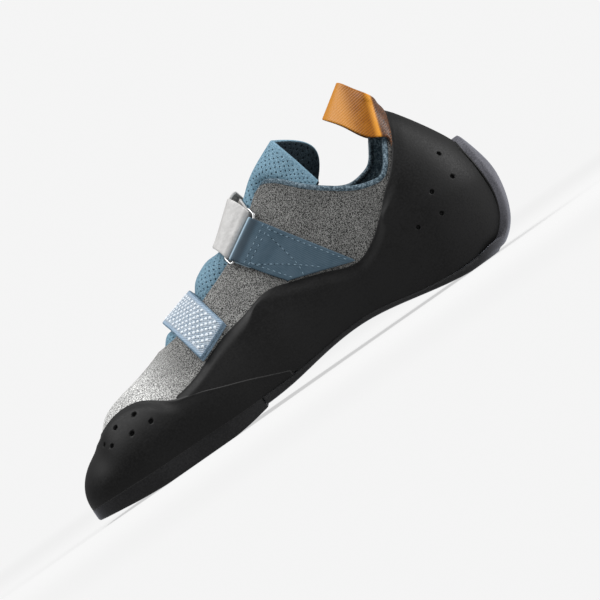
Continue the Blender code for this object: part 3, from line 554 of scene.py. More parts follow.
sizes = {"Size": 0.0009, "Softness": 0.2}
flecks, given, result = mask_group("Fibre flecks", sizes, "Fleck", "Cloud")
fine = noise(flecks, given["Vector"], maths(flecks, "DIVIDE", 1.0, given["Size"]), 2.0, 0.7)
low = maths(flecks, "SUBTRACT", 0.5, given["Softness"])
high = maths(flecks, "ADD", 0.5, given["Softness"])
flecks.links.new(ramp(flecks, fine, low, high), result["Fleck"])
broad = noise(flecks, given["Vector"], 60.0, 3.0)
flecks.links.new(ramp(flecks, broad, 0.35, 0.65), result["Cloud"])

sizes = {"Pitch": 0.001, "Lean": 0.8, "Thread": 0.0005}
twill, given, result = mask_group("Twill", sizes, "Rib")
lean = {"Vector": given["Vector"], "Angle": given["Lean"]}
turned = put(twill, "ShaderNodeVectorRotate", lean, rotation_type="Z_AXIS").outputs[0]
parts = put(twill, "ShaderNodeSeparateXYZ", {0: turned}).outputs
waves = []
for part, pitch in ((parts[0], given["Pitch"]), (parts[1], given["Thread"])):
    turns = maths(twill, "MULTIPLY", maths(twill, "DIVIDE", part, pitch), 2 * math.pi)
    waves.append(maths(twill, "SINE", turns))
both = maths(twill, "MULTIPLY_ADD", waves[1], 0.35, waves[0])
twill.links.new(ramp(twill, both, -1.2, 1.2), result["Rib"])

skin, given, result = mask_group("Rubber skin", {"Grain": 0.0012}, "Tone", "Roughness", "Height")
grain = noise(skin, given["Vector"], maths(skin, "DIVIDE", 1.0, given["Grain"]), 3.0)
cast = noise(skin, given["Vector"], 25.0, 4.0)
mixed = maths(skin, "MULTIPLY_ADD", grain, 0.5, maths(skin, "MULTIPLY", cast, 0.5))
skin.links.new(ramp(skin, mixed, 0.38, 0.62), result["Tone"])
skin.links.new(ramp(skin, mixed, 0.35, 0.65, 0.48, 0.66), result["Roughness"])
skin.links.new(grain, result["Height"])
print("node groups:", [tree.name for tree in bpy.data.node_groups])

# %% [markdown]
# A material starts from one shader. Many finishes here are only two tones mixed by one
# effect, so a single helper makes all of those.

# %% Starting a material
def material(name, roughness, specular=0.5, metallic=0.0):
    """A new material: itself, its tree, its shader's inputs and its coordinates."""
    made = bpy.data.materials.new(name)
    made.use_nodes = True
    tree = made.node_tree
    inputs = tree.nodes["Principled BSDF"].inputs
    inputs["Roughness"].default_value = roughness
    inputs["Specular IOR Level"].default_value = specular
    inputs["Metallic"].default_value = metallic
    return made, tree, inputs, put(tree, "ShaderNodeTexCoord").outputs


def effect(tree, kind, **inputs):
    """The outputs of a shared effect used in a material."""
    return put(tree, "ShaderNodeGroup", inputs, node_tree=kind).outputs


def bump(tree, inputs, height, strength, distance):
    relief = {"Height": height, "Strength": strength, "Distance": distance}
    made = put(tree, "ShaderNodeBump", relief)
    tree.links.new(made.outputs[0], inputs["Normal"])


def along(tree, coordinates, number):
    """One coordinate in object space: 0 along the foot, 1 across, 2 up."""
    return put(tree, "ShaderNodeSeparateXYZ", {0: coordinates["Object"]}).outputs[number]


def two_tone(name, roughness, specular, kind, tones, relief=(0.0, 0.0), **sizes):
    """Two tones mixed by an effect. relief is the strength and the depth of its bumps."""
    made, tree, inputs, at = material(name, roughness, specular)
    marks = effect(tree, kind, Vector=at["Object"], **sizes)
    feed(tree, inputs["Base Color"], blend(tree, marks[0], *tones))
    if relief[0]:
        bump(tree, inputs, marks.get("Height", marks[0]), *relief)
    return made


print("materials can be mixed")

# %% [markdown]
# ## Rubber
# The toe patch and the wings that wrap the heel are die-cut from a black rubber sheet
# about two millimetres thick, stretched over the lasted upper and glued. Their upper
# edges are ground thin, so each band tapers towards its rim. A narrow fold stands up
# along the front of the inner wing.

# %% Rubber and its cut edges
rubber, tree, inputs, at = material("black_rubber", 0.6, 0.16)
film = effect(tree, skin, Vector=at["Object"], Grain=0.0009)
tone = blend(tree, film["Tone"], grey(0.0022, 1.04), grey(0.0075, 1.03))
feed(tree, inputs["Base Color"], tone)
feed(tree, inputs["Roughness"], film["Roughness"])
bump(tree, inputs, film["Height"], 0.2, 0.0003)

tones = grey(0.012), grey(0.024)
cut_edge = two_tone("rubber_cut_edge", 0.75, 0.2, skin, tones, (0.4, 0.0003), Grain=0.0005)

seam_edge, tree, inputs, at = material("rubber_seam_edge", 0.7, 0.3)
film = effect(tree, skin, Vector=at["Object"], Grain=0.0005)
# Painted highlight: the seam edge is paler from the toe on and fades towards the heel, for the
# light its lip catches from above.
painted_highlight = ramp(tree, along(tree, at, 0), -0.068, -0.060)
faded = ramp(tree, along(tree, at, 0), -0.045, -0.010, 1.0, 0.3)
dark = blend(tree, film["Tone"], grey(0.012), grey(0.022))
pale = blend(tree, film["Tone"], grey(0.016), grey(0.026))
painted_highlight = maths(tree, "MULTIPLY", painted_highlight, faded)
feed(tree, inputs["Base Color"], blend(tree, painted_highlight, dark, pale))
print("rubber finishes:", rubber.name, cut_edge.name, seam_edge.name)

# %% [markdown]
# The upper edges of the bands are drawn in side view, with one height for each side at
# every place along the foot. Their lower edges follow the feather line, where the upper
# turns under the foot, or the seam between the toe patch and the wings.

# %% Bands of rubber
GAP, RAND_SEAT, RAND_WALL = 0.3, 0.1, 2.3
RAND_FACE = RAND_SEAT + RAND_WALL
RAND_EDGE, RAND_TAPER = 0.6, 7.0
SEAM_START, SEAM_END, SEAM_GAP = -63.0, -7.5, 0.05
TOE_RAND_END, HEEL_FOOT = -11.0, 112.0

TOE_RAND_TOP = table(
    "x medial lateral",
    (-109.0, 36.2, 36.2), (-104.0, 38.4, 37.6), (-97.0, 41.1, 38.0), (-88.0, 42.3, 36.4),
    (-81.0, 41.2, 34.6), (-76.0, 38.9, 33.0), (-71.0, 35.4, 31.5), (-65.0, 30.9, 29.4),
    (-58.0, 28.7, 27.3), (-44.0, 24.1, 23.2), (-31.0, 19.7, 19.3), (-13.0, 12.8, 12.8),
    (-7.0, 10.6, 10.6),
)
WING_TOP = table(
    "x medial lateral",
    (-64.0, 32.2, 31.0), (-51.0, 34.6, 31.8), (-41.0, 38.3, 33.0), (-26.0, 43.6, 35.5),
    (-11.0, 46.8, 37.5), (2.0, 49.7, 38.5), (14.0, 46.8, 38.0), (35.0, 39.4, 36.2),
    (47.0, 35.7, 35.6), (56.0, 38.3, 37.8), (63.0, 42.6, 41.8), (71.0, 49.3, 48.0),
    (79.0, 56.6, 55.6), (86.0, 62.0, 61.4), (91.0, 67.6, 67.4), (95.0, 73.4, 73.2),
    (99.0, 82.0, 82.0), (102.0, 90.4, 90.4),
)
toe_rand_top, wing_top = edge_line(TOE_RAND_TOP), edge_line(WING_TOP)


def rand_foot(side, x):
    """Lowest line of the rubber on the last, set so that its outer edge ends at the feather."""
    x = np.asarray(x, float)
    points = on_last(side, turn_of(x, feather(x)), feather(x))
    droop = np.clip(-outward(side, points)[..., 2], 0.0, 1.0)
    return feather(x) + GAP + RAND_FACE * droop


def wing_bottom(side, x):
    seam = toe_rand_top(side, x) + SEAM_GAP
    foot = rand_foot(side, x)
    return np.where(x < SEAM_END, np.maximum(seam, foot), foot)


def rubber_wall(grid, free):
    """Thickness of a band of rubber, ground thin towards its upper edge where that is free."""
    run = run_lengths(grid, 0)
    below = run[-1] - run
    thinned = (1 - smoothstep(below / RAND_TAPER)) * free
    return RAND_WALL + (RAND_EDGE - RAND_WALL) * thinned, below


lower = line_on_last(rand_foot, TOE_TIP, TOE_RAND_END)
upper = line_on_last(toe_rand_top, TOE_RAND_TOP[0].x, TOE_RAND_END)
toe = round_toe(band(lower, upper, 110, 44, -0.5))
lower = line_on_last(wing_bottom, SEAM_START, HEEL_FOOT)
upper = line_on_last(wing_top, SEAM_START, WING_TOP[-1].x)
wing = round_heel(band(lower, upper, 150, 60, 0.55, 1.2))
print("toe band", toe.shape[:2], "wing band", wing.shape[:2])

# %% [markdown]
# Small dimples are pressed into the rubber of toe and heel. They are real hollows here,
# cut with one tool: a turned cup for each dimple, all joined into a single cutter.

# %% Dimples in the rubber
TOE_DIMPLES = table(
    "x z radius",
    (-85.0, 36.0, 1.15), (-80.0, 29.0, 1.15), (-96.0, 35.8, 1.15), (-91.0, 29.3, 1.15),
    (-104.4, 32.2, 1.0), (-102.0, 29.8, 1.1),
)
HEEL_DIMPLES = table(
    "x z radius",
    (110.0, 56.2, 1.0), (109.0, 43.5, 1.0), (97.0, 43.2, 1.05), (95.0, 32.1, 1.05),
    (82.0, 33.0, 1.0),
)
CUP = table("radius depth", (1.5, 0.6), (1.22, -0.05), (1.0, -0.4), (0.9, -1.3), (0.5, -1.6))
CUP_CORNERS = 20


def dimple_cutter(dimples):
    angles = np.linspace(0, 2 * math.pi, CUP_CORNERS + 1)[:-1, None]
    points, faces = [], []
    for side in (MEDIAL, LATERAL):
        for spot in dimples:
            x, z = np.array([spot.x]), np.array([spot.z])
            base = on_last(side, turn_of(x, z), z)
            out = outward(side, base)
            across = unit(np.cross(out, [[0.0, 0.0, 1.0]]))
            disc = spot.radius * (np.cos(angles) * across + np.sin(angles) * np.cross(across, out))
            index = np.arange(len(CUP) * CUP_CORNERS).reshape(len(CUP), CUP_CORNERS)
            index += len(CUP) * CUP_CORNERS * len(points)
            rings = [base + (RAND_FACE + row.depth) * out + row.radius * disc for row in CUP]
            points.append(np.concatenate(rings))
            faces += grid_quads(index, True).tolist() + [index[0].tolist(), index[-1].tolist()]
    return new_object("dimples", make_mesh("dimples", np.concatenate(points), faces, []))


def with_dimples(mesh, dimples):
    blank, cutter = new_object("blank", mesh), dimple_cutter(dimples)
    combine(blank, "DIFFERENCE", cutter)
    return baked(blank, cutter)


print("dimples on each side:", len(TOE_DIMPLES), "and", len(HEEL_DIMPLES))

# %% [markdown]
# The edge of the toe patch is thin where it lies on the suede. Along the seam with the
# wing it stays thick and has a small lip. The edge of the wings is left thicker towards
# the heel.

# %% Toe patch and wings
TOE_FREE, TOE_FREE_RUN = -62.0, 10.0
SEAM_LIP, SEAM_LIP_WIDTH = 0.16, 0.9
HEEL_THICK, HEEL_THICK_START, HEEL_THICK_RUN = 0.75, 70.0, 20.0
CREST, CREST_BELOW, CREST_WIDTH, CREST_END, CREST_RUN = 0.55, 4.2, 2.0, -22.0, 25.0

grid, normals = toe[..., :3], toe[..., 3:]
free = smoothstep((TOE_FREE - grid[..., 0]) / TOE_FREE_RUN)
wall, below = rubber_wall(grid, free)
wall += SEAM_LIP * np.exp(-((below / SEAM_LIP_WIDTH) ** 2)) * (1 - free)
finishes = [rubber, rubber, seam_edge]
mesh = thick_sheet("toe", grid, normals, RAND_SEAT + wall, RAND_SEAT, finishes)
show("toe_rubber", with_dimples(mesh, TOE_DIMPLES), "black_rubber", "toe_rand")

grid, normals = wing[..., :3], wing[..., 3:]
towards_heel = smoothstep((grid[..., 0] - HEEL_THICK_START) / HEEL_THICK_RUN)
wall, below = rubber_wall(grid, 1 - HEEL_THICK * towards_heel)
front = smoothstep((CREST_END - grid[..., 0]) / CREST_RUN) * (grid[..., 1] < 0)
wall += CREST * np.exp(-(((below - CREST_BELOW) / CREST_WIDTH) ** 2)) * front
finishes = [rubber, rubber, cut_edge]
mesh = thick_sheet("wing", grid, normals, RAND_SEAT + wall, RAND_SEAT, finishes)
show("wing_rubber", with_dimples(mesh, HEEL_DIMPLES), "black_rubber", "heel_rand")

# %% [markdown]
# ## Soles
# The soles are cut from thicker, firmer rubber. The front one ends in a step behind the
# ball of the foot, and the rear one is thin under the arch. A plate across the shoe is
# enough for the front sole and for the board inside. Only the sole's edge is rounded.

# %% Finishes of the soles and the board
sole_rubber, tree, inputs, at = material("sole_rubber", 0.5, 0.15)
inputs["Sheen Weight"].default_value = 0.25
inputs["Sheen Roughness"].default_value = 0.35
inputs["Sheen Tint"].default_value = (0.80, 0.84, 1.0, 1.0)
film = effect(tree, skin, Vector=at["Object"], Grain=0.0007)
# Painted highlight: the heel strip is paler than the rest of the sole, and less so towards its
# bottom, for the light falling on it from behind.
at_heel = ramp(tree, along(tree, at, 0), 0.095, 0.122)
raised = ramp(tree, along(tree, at, 2), 0.004, 0.030, 0.5, 1.0)
dark = blend(tree, film["Tone"], grey(0.007, 1.05), grey(0.017, 1.05))
pale = blend(tree, film["Tone"], grey(0.058, 1.16), grey(0.115, 1.14))
painted_heel_highlight = maths(tree, "MULTIPLY", at_heel, raised)
feed(tree, inputs["Base Color"], blend(tree, painted_heel_highlight, dark, pale))
feed(tree, inputs["Roughness"], film["Roughness"])
bump(tree, inputs, film["Height"], 0.15, 0.0003)

tones = (0.05, 0.065, 0.08, 1), (0.12, 0.15, 0.18, 1)
relief = 0.3, 0.0003
board = two_tone("insole_board", 0.9, 0.2, flecks, tones, relief, Size=0.0006, Softness=0.25)
print("sole finishes:", sole_rubber.name, board.name)

# %% Front sole and inner board
SOLE_LEDGE, SOLE_STEP, SOLE_JOINT = 0.1, -29.0, 0.1
SOLE_ROUND, SOLE_BEVEL, BEVEL_RISE, BEVEL_SHARE = 0.4, 1.1, 1.6, 0.4
QUARTER_TURN, TURN_MARGIN = 1.57, 0.012
BOARD_END, BOARD_INSET, BOARD_WALL = 105.6, 2.7, 2.0

FRONT_BOTTOM = table(
    "x z",
    (-131.0, 4.2), (-116.0, 2.4), (-104.0, 1.0), (-92.0, 0.1), (-70.0, -0.6), (-50.0, 0.0),
    (-41.0, 0.9), (-29.0, 2.9),
)
front_bottom = column(FRONT_BOTTOM, "z")


def sole_outline(turns, side):
    """Feather line of the last at these turns, with its level outward directions."""
    z = np.full(len(turns), float(feather(0.0)))
    for _ in range(12):
        z = feather(on_last(side, turns, z)[:, 0])
    points = on_last(side, turns, z)
    return points, level(outward(side, points))


def sole_turns(first_x, last_x, count):
    xs = np.array([first_x, last_x])
    first, last = turn_of(xs, feather(xs))
    return np.linspace(max(first, TURN_MARGIN), min(last, math.pi - TURN_MARGIN), count)


def slab(name, turns, profile, finish, end_x=None, across=20):
    """A plate across the sole. profile gives (offset, height) at x, from top to bottom."""
    edges = []
    for side in (MEDIAL, LATERAL):
        points, flat = sole_outline(turns, side)
        spots = []
        for offset, height in profile(points[:, 0]):
            spot = points + offset * flat
            spot[:, 2] = height
            spots.append(spot)
        edges.append(np.stack(spots, axis=1))
    near, far = edges
    share = np.linspace(0, 1, across + 1)[1:-1, None]
    under = near[:, -1:] + (far[:, -1:] - near[:, -1:]) * share
    over = far[:, :1] + (near[:, :1] - far[:, :1]) * share
    rings = np.concatenate([near, under, far[:, ::-1], over], axis=1)
    if end_x is not None:
        rings[-1, :, 0] = end_x
    index = np.arange(rings[..., 0].size).reshape(rings.shape[:2])
    faces = grid_quads(index, True).tolist() + [index[0].tolist(), index[-1].tolist()]
    uv = rings[..., :2].reshape(-1, 2)
    return make_mesh(name, rings.reshape(-1, 3), faces, [finish], uv)


def front_profile(x):
    face, top = RAND_FACE + SOLE_LEDGE, feather(x) - SOLE_JOINT
    bottom = np.maximum(front_bottom(x), 0.0)
    low = np.minimum(BEVEL_RISE, BEVEL_SHARE * (top - bottom))
    spots = []
    for a in np.linspace(0, QUARTER_TURN, 5):
        spots.append((face - SOLE_ROUND * (1 - math.sin(a)), top - SOLE_ROUND * (1 - math.cos(a))))
    for a in np.linspace(0, QUARTER_TURN, 6):
        spots.append((face - SOLE_BEVEL * (1 - math.cos(a)), bottom + low * (1 - math.sin(a))))
    return spots


def board_profile(x):
    base = feather(x) + SOLE_JOINT
    return [(-BOARD_INSET, base + BOARD_WALL), (-BOARD_INSET, base)]


turns = sole_turns(TOE_TIP, SOLE_STEP, 120)
mesh = slab("front_sole", turns, front_profile, sole_rubber, SOLE_STEP)
show("front_sole", mesh, "sole_rubber", "outsole_front")
mesh = slab("inner_board", sole_turns(TOE_TIP, BOARD_END, 90), board_profile, board)
show("inner_board", mesh, "insole_board", "insole")

# %% [markdown]
# The rear sole runs up the back of the heel as a strip, so it is cut from a grown copy of
# the last, with the foot's own form taken out of it. This cell makes such a copy, closed
# at its top and at its foot.

# %% Copies of the last
FORM_LEVEL, FORM_FRONT, FORM_BACK, FORM_TOP = 26.0, -38.0, 123.0, 64.0


def level_line(first, last):
    """A level line round the last between two places along the foot."""
    return line_on_last(lambda side, x: FORM_LEVEL + 0 * x, first, last)


def form(name, offset, foot):
    """A closed copy of the last grown by offset, standing on its foot rows."""
    sides = {}
    for side in (MEDIAL, LATERAL):
        turns, _ = spread(side, *level_line(FORM_FRONT, FORM_BACK)(side), 110, 0.58)
        turns = np.concatenate([turns[0] * np.linspace(0, 0.9, 6), turns])
        outline, flat = sole_outline(turns, side)
        rows = []
        for spread_out, height in foot(outline[:, 0]):
            row = outline + np.asarray(spread_out)[..., None] * flat
            row[:, 2] = height
            rows.append(row)
        low = rand_foot(side, outline[:, 0])
        for share in np.linspace(0.0, 1.0, 54) ** 1.35:
            points = on_last(side, turns, low + (FORM_TOP - low) * share)
            rows.append(points + offset(points[:, 0])[:, None] * outward(side, points))
        sides[side] = np.stack(rows)
    ring = closed_ring(sides)
    rows, columns = ring.shape[:2]
    index = np.arange(rows * columns).reshape(rows, columns)
    faces = grid_quads(index, True).tolist()
    for base in (index[0], index[-1]):
        for c in range(len(turns) - 1):
            corners = [base[c], base[c + 1], base[columns - c - 1], base[(columns - c) % columns]]
            faces.append(list(dict.fromkeys(int(corner) for corner in corners)))
    return new_object(name, make_mesh(name, ring.reshape(-1, 3), faces, []))


print("the forms reach from", FORM_FRONT, "to", FORM_BACK, "mm")

# %% [markdown]
# Low down the rear sole is cut by its side view. Its strip is cut by its outline from
# behind, so that the border runs smoothly over the round heel.

# %% Outline of the rear sole
HEEL_STRIP_TOP, HEEL_STRIP_INNER = 59.4, 124.0
STRIP_START, STRIP_FRONT, STRIP_SEARCH, STRIP_LAP, STRIP_LIFT = 5.8, 100.0, 60.0, 1.0, 0.3
BLOCK_LOW, BLOCK_BACK, BLOCK_SIDE = -10.0, 140.0, 88.0

REAR_SOLE_BORDER = table(
    "x z",
    (-28.0, 8.3), (-5.0, 9.3), (10.0, 10.7), (26.0, 12.0), (42.0, 11.5), (57.0, 8.5),
    (70.0, 6.0), (84.0, 4.5), (96.0, 4.3), (104.0, 5.2), (109.0, 6.8), (114.0, 10.0),
    (118.0, 14.2), (121.0, 20.0), (122.8, 27.0), (123.2, 35.0), (122.8, 44.0), (121.8, 52.0),
    (121.4, 57.0),
)


def block(name, front, back):
    """A closed block between two outlines with the same number of corners."""
    index = np.arange(2 * len(front)).reshape(2, len(front))
    faces = grid_quads(index, True).tolist() + [index[0].tolist(), index[1].tolist()]
    return new_object(name, make_mesh(name, np.concatenate([front, back]), faces, []))


def strip_edge(side, x, z):
    """Where the face of the heel's rubber passes the border place x, z, across the shoe."""
    turns, _ = spread(side, *level_line(STRIP_SEARCH, FORM_BACK)(side), 300)
    points = on_last(side, turns, np.full(len(turns), z))
    points = points + (RAND_FACE + STRIP_LIFT) * outward(side, points)
    return np.interp(x, points[:, 0], points[:, 1])


def rear_border():
    knots = lengths_along(np.array(REAR_SOLE_BORDER))
    even = np.linspace(0.0, knots[-1], 140)
    return [spline(knots, values)(even) for values in np.array(REAR_SOLE_BORDER).T]


def rear_area():
    """A block across the shoe from the side view, joined to one along it from the back view."""
    xs, zs = rear_border()
    low = (zs < STRIP_START) | (xs < STRIP_FRONT)
    start = SOLE_STEP + GAP
    flat = [(start, BLOCK_LOW), (start, zs[0]), *zip(xs[low], zs[low])]
    flat = np.array(flat + [(BLOCK_BACK, zs[low][-1]), (BLOCK_BACK, BLOCK_LOW)])
    across = [np.insert(flat, 1, y, axis=1) for y in (-BLOCK_SIDE, BLOCK_SIDE)]
    area = block("rear_area", *across)
    zs, xs = np.append(zs[~low], HEEL_STRIP_TOP), np.append(xs[~low], HEEL_STRIP_INNER)
    edges = [[strip_edge(side, x, z) for x, z in zip(xs, zs)] for side in (MEDIAL, LATERAL)]
    zs[0] -= STRIP_LAP
    ring = np.array([*zip(edges[0], zs), *zip(edges[1][::-1], zs[::-1])])
    strip = block("strip_area", *[np.insert(ring, 0, x, axis=1) for x in (STRIP_FRONT, BLOCK_BACK)])
    combine(area, "UNION", strip)
    return new_object("rear_sole_area", baked(area, strip))


print("border places:", len(REAR_SOLE_BORDER))

# %% [markdown]
# A fine remesh and a little smoothing round the edges of the cut. A near-black bar along
# the strip on both sides is painted shade for the gap between the strip and the rubber.

# %% Rear sole and heel strip
SEAT_ROOM, HEEL_STRIP_WALL, INSIDE_WALL = 0.6, 3.0, 1.2
SOLE_SEAT = RAND_FACE + SEAT_ROOM
STRIP_WALL_START, STRIP_WALL_RUN = 92.0, 22.0
VOXEL, GAP_SHADE_RADIUS = 0.75, 0.55

REAR_BOTTOM = table(
    "x z",
    (-29.0, 4.0), (-14.0, 4.9), (3.0, 7.3), (18.0, 9.1), (33.0, 9.5), (47.0, 8.0),
    (60.0, 5.5), (72.0, 3.0), (84.0, 0.8), (92.0, -0.2), (112.0, -0.4),
)
rear_bottom = column(REAR_BOTTOM, "z")


def rear_wall(x):
    heel = smoothstep((x - STRIP_WALL_START) / STRIP_WALL_RUN)
    return SOLE_SEAT + SOLE_LEDGE + (HEEL_STRIP_WALL - SOLE_LEDGE) * heel


def rear_foot(x):
    bottom = np.maximum(rear_bottom(x), 0.0)
    face = SOLE_SEAT + SOLE_LEDGE
    return [(face - SOLE_BEVEL - 0 * x, bottom), (face + 0 * x, bottom + SOLE_BEVEL)]


def inside_wall(x):
    return INSIDE_WALL + 0 * x


def rear_sole():
    blank = form("rear_blank", rear_wall, rear_foot)
    inside = form("rear_inside", inside_wall, lambda x: [(inside_wall(x), feather(x) - GAP)])
    area = rear_area()
    combine(blank, "INTERSECT", area)
    combine(blank, "DIFFERENCE", inside)
    fine = blank.modifiers.new("Fine", "REMESH")
    fine.mode, fine.voxel_size = "VOXEL", VOXEL * MM
    soft = blank.modifiers.new("Soft", "SMOOTH")
    soft.factor, soft.iterations = 0.5, 5
    return finished(baked(blank, inside, area), sole_rubber)


show("rear_sole", rear_sole(), "sole_rubber", "outsole_rear")

# Painted shade: a near-black bar along each side of the strip, for the shadow in the gap between
# strip and rubber.
gap_shade = two_tone("painted_gap_shade", 0.5, 0.2, skin, (grey(0.001), grey(0.003)), Grain=0.0005)
xs, zs = rear_border()
for name, side in (("inner_gap_shade", MEDIAL), ("outer_gap_shade", LATERAL)):
    line = [(x, strip_edge(side, x, z), z) for x, z in zip(xs, zs) if x > STRIP_FRONT]
    show(name, tube(name, np.array(line), GAP_SHADE_RADIUS, False, gap_shade), "sole_rubber")

# %% [markdown]
# ## The upper
# The upper is one piece of grey suede with a blue lining, pulled over the last and left
# open at the throat and the collar. Its nap shows as fine light and dark flecks that get
# coarser towards the toe, where painted light also makes them paler, and painted shade
# darkens it towards the heel. A few soft creases are set where the foot has bent it.

# %% Suede and lining
suede, tree, inputs, at = material("grey_suede", 0.95, 0.15)
small = effect(tree, flecks, Vector=at["Object"], Size=0.00046, Softness=0.05)
large = effect(tree, flecks, Vector=at["Object"], Size=0.0006, Softness=0.07)
# Towards the toe the flecks get coarser, and also paler as painted light falling on the toe from
# above.
knit = ramp(tree, along(tree, at, 0), -0.045, -0.080)
nap = blend(tree, small["Fleck"], grey(0.006), grey(0.33, 0.97))
coarse = blend(tree, large["Fleck"], grey(0.11), grey(0.78, 0.98))
napped = blend(tree, knit, nap, coarse)
shade = ramp(tree, small["Cloud"], 0.0, 1.0, 0.18, 0.0)
napped = blend(tree, shade, napped, grey(0.06))
# Painted shade: the suede darkens from the middle towards the heel.
painted_rear_shade = ramp(tree, along(tree, at, 0), -0.030, 0.050, 0.04, 0.40)
feed(tree, inputs["Base Color"], blend(tree, painted_rear_shade, napped, grey(0.02)))
bump(tree, inputs, small["Fleck"], 0.35, 0.0004)

tones = (0.06, 0.100, 0.132, 1), (0.20, 0.285, 0.340, 1)
relief = 0.6, 0.0006
lining = two_tone("blue_lining", 0.9, 0.2, flecks, tones, relief, Size=0.0012, Softness=0.1)
# The cut edge of the suede is near black: partly its own colour, partly painted shade for the gap
# beside the tongue.
tones = (0.012, 0.011, 0.011, 1), (0.05, 0.045, 0.04, 1)
suede_edge = two_tone("suede_cut_edge", 0.95, 0.1, flecks, tones, Size=0.0006, Softness=0.2)
print("upper finishes:", suede.name, lining.name, suede_edge.name)

# %% Suede upper
UPPER_WALL, FEATHER_END = 1.8, 106.5

TOP_EDGE = table(
    "x medial lateral",
    (-60.0, 55.6, 55.6), (-47.0, 56.9, 56.9), (-25.0, 64.5, 64.5), (-8.0, 70.9, 71.2),
    (6.0, 78.4, 79.0), (21.0, 89.6, 90.0), (29.0, 94.2, 94.4), (37.0, 90.8, 91.0),
    (44.0, 83.4, 83.8), (56.0, 73.0, 73.6), (66.0, 66.2, 68.2), (76.0, 62.6, 68.6),
    (84.0, 63.4, 73.0), (92.0, 73.2, 84.6), (97.0, 82.4, 89.0), (101.0, 92.0, 92.0),
)
CREASES = table(
    "x0 z0 x1 z1 width depth",
    (-66.0, 50.0, -56.0, 38.0, 3.0, 0.35), (-78.0, 46.0, -70.0, 40.0, 3.5, 0.30),
    (-30.0, 58.0, -14.0, 50.0, 3.5, 0.40), (-26.0, 52.0, -8.0, 55.0, 4.0, 0.30),
    (40.0, 76.0, 62.0, 52.0, 6.0, 0.40), (66.0, 60.0, 58.0, 44.0, 5.0, 0.45),
    (74.0, 58.0, 70.0, 50.0, 4.0, 0.35),
)
top_edge = edge_line(TOP_EDGE)


def creased(points):
    """How far the suede sinks at points, in millimetres."""
    sunk = np.zeros(points.shape[:2])
    for row in CREASES:
        start, step = np.array([row.x0, row.z0]), np.array([row.x1 - row.x0, row.z1 - row.z0])
        from_start = points[..., [0, 2]] - start
        share = np.clip(from_start @ step / (step @ step), 0.0, 1.0)
        apart = np.linalg.norm(from_start - share[..., None] * step, axis=-1)
        fading = 0.3 + 0.7 * np.sin(math.pi * share)
        sunk += row.depth * np.exp(-((apart / row.width) ** 2)) * fading
    return sunk


feather_line = line_on_last(lambda side, x: feather(x), TOE_TIP, FEATHER_END)
throat_and_collar = line_on_last(top_edge, TOP_EDGE[0].x, TOP_EDGE[-1].x)
shell = closed_ring(band(feather_line, throat_and_collar, 150, 56))
grid, normals = shell[..., :3], shell[..., 3:]
finishes = [suede, lining, suede_edge]
mesh = thick_sheet("upper", grid, normals, -creased(grid), -UPPER_WALL, finishes, closed=True)
show("suede_upper", mesh, "grey_suede", "upper")

# %% [markdown]
# ## The tongue
# The tongue is foam between two layers of perforated blue mesh, folded over at its top.
# The foam is one dark sheet. The mesh is a grid of small cells over both faces, and
# Geometry Nodes opens every second cell: each is drawn in to a hole, given a wall and
# rounded, so the holes stay even wherever the tongue bends.

# %% Tongue surface
TONGUE_WALL, TONGUE_ROOM = 2.4, 0.9
TONGUE_HIDDEN = -(UPPER_WALL + TONGUE_WALL / 2 + TONGUE_ROOM)
FLARE_BIAS, SLOT_LEAST, SLOT_MOST = 1.9, 0.24, 0.70
BINDING_START, BINDING_ROOM, BINDING_LEAD = 28.0, 3.6, 6.0

TONGUE = table(
    "ridge_x lift depth lean flare",
    (-70.0, -3.9, 9.0, 0.40, 0.0), (-61.0, -3.9, 12.0, 0.40, 0.0),
    (-57.0, -3.4, 13.2, 0.40, 0.0), (-53.0, -1.2, 14.0, 0.40, 0.0),
    (-49.5, 0.2, 14.8, 0.40, 0.0), (-46.0, -1.2, 15.2, 0.41, 0.0),
    (-38.0, -1.2, 16.0, 0.42, 0.0), (-28.2, -1.2, 17.0, 0.45, 0.0),
    (-23.5, 1.8, 18.0, 0.48, 0.0), (-17.0, 2.9, 19.2, 0.50, 0.0),
    (-11.5, 2.0, 19.9, 0.52, 0.0), (-6.5, -0.9, 20.4, 0.53, 0.0),
    (2.0, -0.9, 21.2, 0.55, 0.0), (11.0, -0.9, 22.0, 0.55, 0.0),
    (20.0, -0.9, 23.5, 0.55, 0.0), (26.0, 0.2, 24.5, 0.52, 0.0), (32.0, 0.4, 26.0, 0.45, 0.0),
    (39.0, -0.4, 28.0, 0.35, 5.0), (46.0, -1.8, 30.0, 0.26, 12.0),
)
names = "lift", "depth", "lean", "flare"
tongue_columns = [column(TONGUE, name, key="ridge_x") for name in names]


def slot_share(ridge, depth, lean):
    """Share of the way down a tongue row at which it passes under the throat's edge."""
    inner, outer = np.zeros(len(ridge)), np.ones(len(ridge))
    for _ in range(40):
        middle = (inner + outer) / 2
        drop = depth * middle**2
        x = ridge + lean * drop
        bound = BINDING_ROOM * smoothstep((x - BINDING_START) / BINDING_LEAD + 1)
        clear = crown(ridge) - drop > top_edge(LATERAL, x) + bound
        inner, outer = np.where(clear, middle, inner), np.where(clear, outer, middle)
    return np.clip(inner, SLOT_LEAST, SLOT_MOST)


